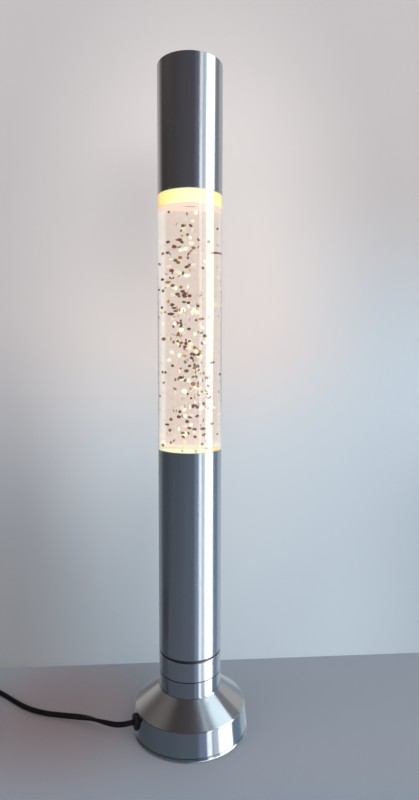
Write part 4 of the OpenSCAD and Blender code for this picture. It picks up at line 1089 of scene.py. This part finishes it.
class GLITTERLAMP_OT_flakes(Maker, bpy.types.Operator):
    """Scatter the flakes: most in a plume that wanders up the tube, some anywhere"""

    bl_idname = "glitter_lamp.flakes"
    bl_label = "Flakes"

    def execute(self, context):
        look = self.looks.bottle
        rng = np.random.default_rng(look.seed)
        floor, roof = span("liquid_fill")
        radius, thick = look.radius / MM, look.thick / MM
        spots = self.drift(rng, look.count, floor, roof, BORE - radius - 0.7)
        lying = np.array([(-6.4, -22.6), (4.9, -23.0), (13.6, -19.2), (-11, 3), (2, 12), (16, 4)])
        raised = floor + np.array([2.6, 2.5, 4.2, 0.5, 0.5, 0.5])
        spots = np.concatenate([np.c_[lying, raised], spots])
        count = len(spots)
        sizes = radius * rng.uniform(0.8, 1.05, count)
        shares, base, glow = (np.array(column) for column in zip(*FLAKE_KINDS))
        kinds = rng.choice(5, count, p=shares)
        kinds[: len(lying)] = [1, 1, 0, 2, 4, 0]
        sizes[kinds == CREAM] *= 1.18
        sizes[np.hypot(spots[:, 0], spots[:, 1]) > 17] *= 0.85
        normal = unit(rng.normal(size=(count, 3)) * [1.35, 1.3, 0.45])
        normal[: len(lying)] = UP
        normal[:3] = unit(np.c_[lying[:3], np.full(3, 7.0)])
        side = unit(np.cross(normal, rng.normal(size=(count, 3))))
        up = np.cross(normal, side)
        ring = oval(12, 1.0, 1.0)
        disc = side[:, None] * ring[:, :1] + up[:, None] * ring[:, 1:]
        rows = np.stack([0 * disc, disc, disc, 0 * disc], 1) * sizes[:, None, None, None]
        cup = (rng.uniform(-0.16, 0.16, count) * sizes)[:, None] * [0, 1, 1, 0]
        lift = (np.array([0.5, 0.5, -0.5, -0.5]) * thick + cup)[..., None]
        grids = spots[:, None, None] + rows + normal[:, None, None] * lift[..., None]
        vary = rng.uniform(0.7, 1.3, (count, 1))
        add_piece(
            "flakes", list(grids * MM), self.foil(), body="bottle",
            stands_for=("glitter_flakes",), sharp=30,
            # shine carries each flake's painted glint
            tints={"tint": np.clip(base[kinds] * vary, 0, 1), "shine": glow[kinds] * vary},
        )
        return {"FINISHED"}

    def drift(self, rng, count, floor, roof, reach):
        """Places of flakes in millimetres. Three in four lie about a line that sways with the
        height, the rest anywhere in the bore; no two middles lie closer than 2.3 mm."""
        spots = np.empty((0, 3))
        while len(spots) < count:
            z = np.interp(rng.random(), [0, 0.13, 0.3, 0.52, 0.74, 0.92, 1],
                          [floor + 5, 305, 335, 372, 408, 452, roof - 5])
            if rng.random() < 0.74:
                x = 7.5 * math.sin((z - 300) / 27 + 0.6) - 2.5 + rng.normal() * 6.5
                y = 6.0 * math.sin((z - 260) / 21) - 2.0 + rng.normal() * 7.5
            else:
                turn, out = rng.random() * 2 * math.pi, reach * math.sqrt(rng.random())
                x, y = out * math.cos(turn), out * math.sin(turn)
            spot = np.array([x, y, z])
            clear = np.all(np.linalg.norm(spots - spot, axis=1) > 2.3)
            if math.hypot(x, y) < reach and clear:
                spots = np.vstack([spots, spot])
        return spots

    def foil(self):
        """Thin foil: brown, olive, gold and grey ones that stay dark, and cream ones; each gives
        off a painted glint, strongest on the cream ones, and has a slight sheen and a printed
        grain."""
        f = finish("foil")
        grain = f.grain(4, 4)
        return f.surface(
            Base_Color=f.mix(grain * 0.4, f.tint("tint"), (0.1, 0.06, 0.04)), Metallic=0.35,
            # painted glint
            Roughness=0.26 + grain * 0.2, Emission_Color=f.tint("shine"), Emission_Strength=1.0,
        )


class GLITTERLAMP_OT_glow(Maker, bpy.types.Operator):
    """Light the ring under the cap and the window under the liquid"""

    bl_idname = "glitter_lamp.glow"
    bl_label = "Lit ring and window"

    def execute(self, context):
        look = self.looks.glow
        self.ring(look)
        self.window(look)
        wear("seal_rings", moulded("silicone", (0.42, 0.06, 0.035), 0.35, 1.0, 0.03))
        wear("filler_washer", moulded("washer silicone", (0.42, 0.06, 0.035), 0.4, 1.0, 0.03))
        wear("filler_screw", moulded("nylon screw", (0.78, 0.78, 0.75), 0.4, 1.0, 0.03))
        return {"FINISHED"}

    def ring(self, look):
        """Translucent yellow plastic that glows with the bulb's light, painted on: a painted
        highlight whitest in front, orange at its left end, its lower rim painted pale and orange,
        its lower face pink where the light falls through it."""
        f = finish("lit ring")
        x, _, z = f.place()
        swirl = f.grain(0.35, 0.5, 3.0, 0.6)
        under = span("top_stopper")[0]
        rim = 1 - z.rise(under + 0.3, under + 2.2)
        # painted light: the ring's glow, with a painted highlight in front and painted light along
        # its lower rim
        tone = f.coats(
            look.ring,
            (x.band(-12, 17, 12), look.ring_highlight),
            (rim * (1 - x.rise(-26, -19)), look.ring_end),
            (rim * x.rise(-20, -12) * 0.7, (1.0, 0.98, 0.88)),
            ((x * -1).rise(23.5, 25.4), look.ring_end),
            (1 - z.rise(under + 0.02, under + 0.1), (0.77, 0.54, 0.49)),
            (swirl * 0.12, (1.0, 0.8, 0.3)),
        )
        wear("top_stopper", f.surface(
            Base_Color=(0.2, 0.17, 0.07), Roughness=0.3 + swirl * 0.1,
            Emission_Color=tone, Emission_Strength=1.05,
        ))

    def window(self, look):
        """Translucent cream plastic, brightest over the bulb, orange towards the right."""
        f = finish("lit window")
        x, out = f.place()[0], f.radius()
        swirl = f.grain(0.2, 0.2, 3.0, 0.6)
        tone = f.coats(
            (1.0, 0.97, 0.82),
            (out.rise(6, 24), look.window),
            (x.rise(2, 20) * out.rise(14, 24), (1.0, 0.72, 0.22)),
            (swirl * 0.15, (1.0, 0.8, 0.4)),
        )
        wear("bottom_window", f.surface(
            Base_Color=(0.2, 0.18, 0.12), Roughness=0.35 + swirl * 0.1,
            Emission_Color=tone, Emission_Strength=0.82,
        ))


# ---- panel and run


class GlitterLampLooks(bpy.types.PropertyGroup):
    """All sizes and colours of the lamp"""

    __annotations__ = {name: bpy.props.PointerProperty(type=group) for name, group in LOOKS}


class GLITTERLAMP_PT_panel(bpy.types.Panel):
    """Lists the steps and the sizes and colours"""

    bl_label = "Glitter Lamp"
    bl_idname = "GLITTERLAMP_PT_panel"
    bl_space_type = "VIEW_3D"
    bl_region_type = "UI"
    bl_category = "Glitter Lamp"

    def draw(self, context):
        for operator in OPERATORS:
            self.layout.operator(operator.bl_idname)
        for name, group in LOOKS:
            box = self.layout.box()
            box.label(text=group.__doc__)
            for key in group.__annotations__:
                box.prop(getattr(context.scene.glitter_lamp, name), key)


OPERATORS = (
    GLITTERLAMP_OT_camera,
    GLITTERLAMP_OT_flex,
    GLITTERLAMP_OT_fittings,
    GLITTERLAMP_OT_stage,
    GLITTERLAMP_OT_metalwork,
    GLITTERLAMP_OT_inside,
    GLITTERLAMP_OT_bulb,
    GLITTERLAMP_OT_tube,
    GLITTERLAMP_OT_flakes,
    GLITTERLAMP_OT_glow,
)


CLASSES = (*[group for _, group in LOOKS], GlitterLampLooks, *OPERATORS, GLITTERLAMP_PT_panel)


def register():
    for kind in CLASSES:
        bpy.utils.register_class(kind)
    bpy.types.Scene.glitter_lamp = bpy.props.PointerProperty(type=GlitterLampLooks)


def unregister():
    del bpy.types.Scene.glitter_lamp
    for kind in reversed(CLASSES):
        bpy.utils.unregister_class(kind)


def main():
    register()
    for operator in OPERATORS:
        group, name = operator.bl_idname.split(".")
        getattr(getattr(bpy.ops, group), name)()


if __name__ == "__main__":
    main()
